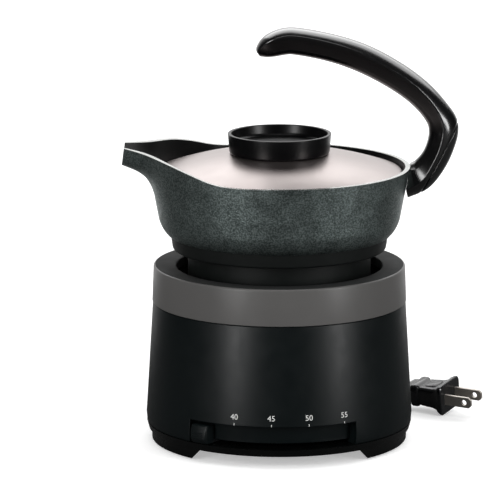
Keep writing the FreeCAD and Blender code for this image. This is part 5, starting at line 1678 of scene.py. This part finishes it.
@dataclass
class Studio:
    """A plain pale table, soft lights and the camera."""

    #: From the camera to what it aims at, in metres.
    distance: float = 2.25
    elevation: float = 11.8
    aim: Triple = (-16.7, 0.0, 109.1)
    lens: float = 284.6
    sensor: float = 36.0
    #: Height in metres that every lamp is turned to.
    lamp_aim: float = 0.1
    #: How bright the room is as it lights the object, and away from the pale wall as gloss
    #: mirrors it.
    fill: float = 0.4
    dim: float = 0.03
    #: How straight back a direction looks where the pale wall begins and where it is full.
    wall_from: float = 0.6
    wall_full: float = 0.95
    table_size: float = 6000.0
    #: Distances in metres over which the mirrored table turns pale, and over which the
    #: table's own glow grows from its nearest strength to full.
    mirrored_from: Pair = (0.2, 0.8)
    glow_from: Pair = (0.6, 2.5)
    nearest_glow: float = 0.4
    #: Tone of the table where it glows, and its range of tones elsewhere.
    glowing_tone: float = 0.06
    tones: Pair = (0.88, 0.92)

    def camera(self) -> None:
        """Sets the camera at the product's eye level."""
        data = bpy.data.cameras.new("camera")
        data.lens = self.lens
        data.sensor_width = self.sensor
        data.clip_end = 50.0
        eye = bpy.data.objects.new("camera", data)
        bpy.context.scene.collection.objects.link(eye)
        tilt = math.radians(self.elevation)
        aim = Vector(self.aim) * MM
        eye.location = aim + Vector((0, -math.cos(tilt), math.sin(tilt))) * self.distance
        eye.rotation_euler = (math.radians(90) - tilt, 0, 0)
        bpy.context.scene.camera = eye

    def softbox(self, name: str, azimuth: float, elevation: float, distance: float,
                size: Pair, watts: float) -> None:
        """Adds one soft light that faces the object.

        Args:
            name: The lamp's name.
            azimuth: Its direction from the front towards the handle.
            elevation: Its height above the horizon in degrees.
            distance: Its distance in metres.
            size: Width and height in metres.
            watts: Its power.
        """
        data = bpy.data.lights.new(name, "AREA")
        data.shape = "RECTANGLE"
        data.size, data.size_y = size
        data.energy = watts
        lamp = bpy.data.objects.new(name, data)
        bpy.context.scene.collection.objects.link(lamp)
        rise = math.radians(elevation)
        x, y, _ = around(distance * math.cos(rise), azimuth, 0)
        lamp.location = (x, y, distance * math.sin(rise) + self.lamp_aim)
        lamp.rotation_euler = (Vector((0, 0, self.lamp_aim)) - lamp.location).to_track_quat(
            "-Z", "Y").to_euler()
        lamp.visible_camera = False

    def lights(self) -> None:
        """Two low soft boxes in front, one overhead, one over the back, and a pale wall."""
        upright = (0.32, 1.1)
        self.softbox("left_box", -38, 12, distance=1.4, size=upright, watts=12)
        self.softbox("right_box", 53, 12, distance=1.4, size=upright, watts=12)
        self.softbox("over_box", 0, 76, distance=1.4, size=(1.2, 0.35), watts=4)
        self.softbox("top_box", 168, 44, distance=1.5, size=(2.2, 0.9), watts=15)
        world = bpy.data.worlds.new("room")
        bpy.context.scene.world = world
        world.use_nodes = True
        tree = world.node_tree
        tree.nodes.clear()
        walls = self.behind(tree, add_node(tree, "ShaderNodeTexCoord").outputs["Generated"])
        camera, mirrored = self.sight(tree)
        filled = add_node(tree, "ShaderNodeMix", {0: mirrored, 2: self.fill, 3: walls},
                          data_type="FLOAT").outputs[0]
        strength = add_node(tree, "ShaderNodeMix", {0: camera, 2: filled, 3: 1.0},
                            data_type="FLOAT").outputs[0]
        glow = add_node(tree, "ShaderNodeBackground", {
            "Color": (1.0, 1.0, 1.0, 1.0), "Strength": strength})
        add_node(tree, "ShaderNodeOutputWorld", {"Surface": glow.outputs["Background"]})

    def sight(self, tree: bpy.types.NodeTree) -> tuple[Socket, Socket]:
        """Tells apart how the surroundings are seen.

        Args:
            tree: The tree to add the nodes to.

        Returns:
            1 where the camera sees them, and 1 where a gloss or a clear piece shows them.
        """
        path = add_node(tree, "ShaderNodeLightPath")
        mirrored = add_node(tree, "ShaderNodeMath", {
            0: path.outputs["Is Glossy Ray"], 1: path.outputs["Is Transmission Ray"]},
            operation="ADD", use_clamp=True).outputs["Value"]
        return path.outputs["Is Camera Ray"], mirrored

    def behind(self, tree: bpy.types.NodeTree, place: Socket) -> Socket:
        """Finds how far a direction from the object looks at the pale wall behind it.

        Args:
            tree: The tree to add the nodes to.
            place: The direction.

        Returns:
            Nearly 0 away from the wall, and 1 at it.
        """
        ahead = add_node(tree, "ShaderNodeSeparateXYZ", {
            "Vector": add_node(tree, "ShaderNodeVectorMath", {0: place},
                               operation="NORMALIZE").outputs["Vector"]})
        return add_node(tree, "ShaderNodeMapRange", {
            "Value": ahead.outputs["Y"], "From Min": self.wall_from,
            "From Max": self.wall_full, "To Min": self.dim, "To Max": 1.0,
        }, interpolation_type="SMOOTHSTEP").outputs["Result"]

    def table(self) -> None:
        """A large pale table top that keeps the object's shadow."""
        size = self.table_size
        floor = new_object("table_top", [(-size, -size, 0), (size, -size, 0), (size, size, 0),
                                         (-size, size, 0)], [(0, 1, 2, 3)])
        paint = bpy.data.materials.new("white_table_paint")
        paint.use_nodes = True
        tree = paint.node_tree
        tree.nodes.clear()
        place = add_node(tree, "ShaderNodeTexCoord").outputs["Object"]
        reach = add_node(tree, "ShaderNodeVectorMath", {0: place},
                         operation="LENGTH").outputs["Value"]
        far = add_node(tree, "ShaderNodeMapRange", {
            "Value": reach, "From Min": self.mirrored_from[0],
            "From Max": self.mirrored_from[1]}).outputs["Result"]
        lit = add_node(tree, "ShaderNodeMath", {0: self.behind(tree, place), 1: far},
                       operation="MULTIPLY").outputs["Value"]
        camera, mirrored = self.sight(tree)
        near = add_node(tree, "ShaderNodeMath", {0: mirrored, 1: lit},
                        operation="MULTIPLY").outputs["Value"]
        seen = add_node(tree, "ShaderNodeMath", {0: camera, 1: near}, operation="ADD",
                        use_clamp=True).outputs["Value"]
        paler = add_node(tree, "ShaderNodeMapRange", {
            "Value": reach, "From Min": self.glow_from[0], "From Max": self.glow_from[1],
            "To Min": self.nearest_glow, "To Max": 1.0}).outputs["Result"]
        glow = add_node(tree, "ShaderNodeMix", {0: seen, 2: 0.0, 3: paler},
                        data_type="FLOAT").outputs[0]
        speck = add_node(tree, "ShaderNodeTexNoise", {"Scale": 3.0, "Detail": 2.0})
        tone = add_node(tree, "ShaderNodeMapRange", {
            "Value": speck.outputs["Fac"], "To Min": self.tones[0],
            "To Max": self.tones[1]}).outputs["Result"]
        colour = add_node(tree, "ShaderNodeMix", {0: seen, 2: self.glowing_tone, 3: tone},
                          data_type="FLOAT").outputs[0]
        shader = add_node(tree, "ShaderNodeBsdfPrincipled", {
            "Base Color": colour, "Roughness": 0.9,
            "Emission Color": (1.0, 1.0, 1.0, 1.0), "Emission Strength": glow})
        add_node(tree, "ShaderNodeOutputMaterial", {"Surface": shader.outputs["BSDF"]})
        floor.data.materials.append(paint)

    def build(self) -> None:
        """Sets the camera, the lights and the table."""
        self.camera()
        self.lights()
        self.table()
        bpy.context.scene.view_settings.view_transform = "Standard"


def dress_solids() -> None:
    """Gives each solid that stays in view its finish, and rounds the edges of those listed in
    SOFTENED.
    """
    for name, finish in SOLID_FINISHES.items():
        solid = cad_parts[name]
        material = finish.material()
        if not solid.material_slots:
            solid.data.materials.append(material)
        for slot in solid.material_slots:
            slot.material = material
        if name in SOFTENED:
            soften(solid, SOFTENED[name], steps=2)
        LOG.info("%s: %s", name, finish.name)


def main() -> None:
    """Builds the warmer in order."""
    logging.basicConfig(level=logging.INFO, format="%(message)s")
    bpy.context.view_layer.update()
    Studio().build()
    PowerCord().build()
    dress_solids()
    HeatedBase().build()
    CastPot().build()
    PotHandle().build()
    DomedLid().build()


if __name__ == "__main__":
    main()
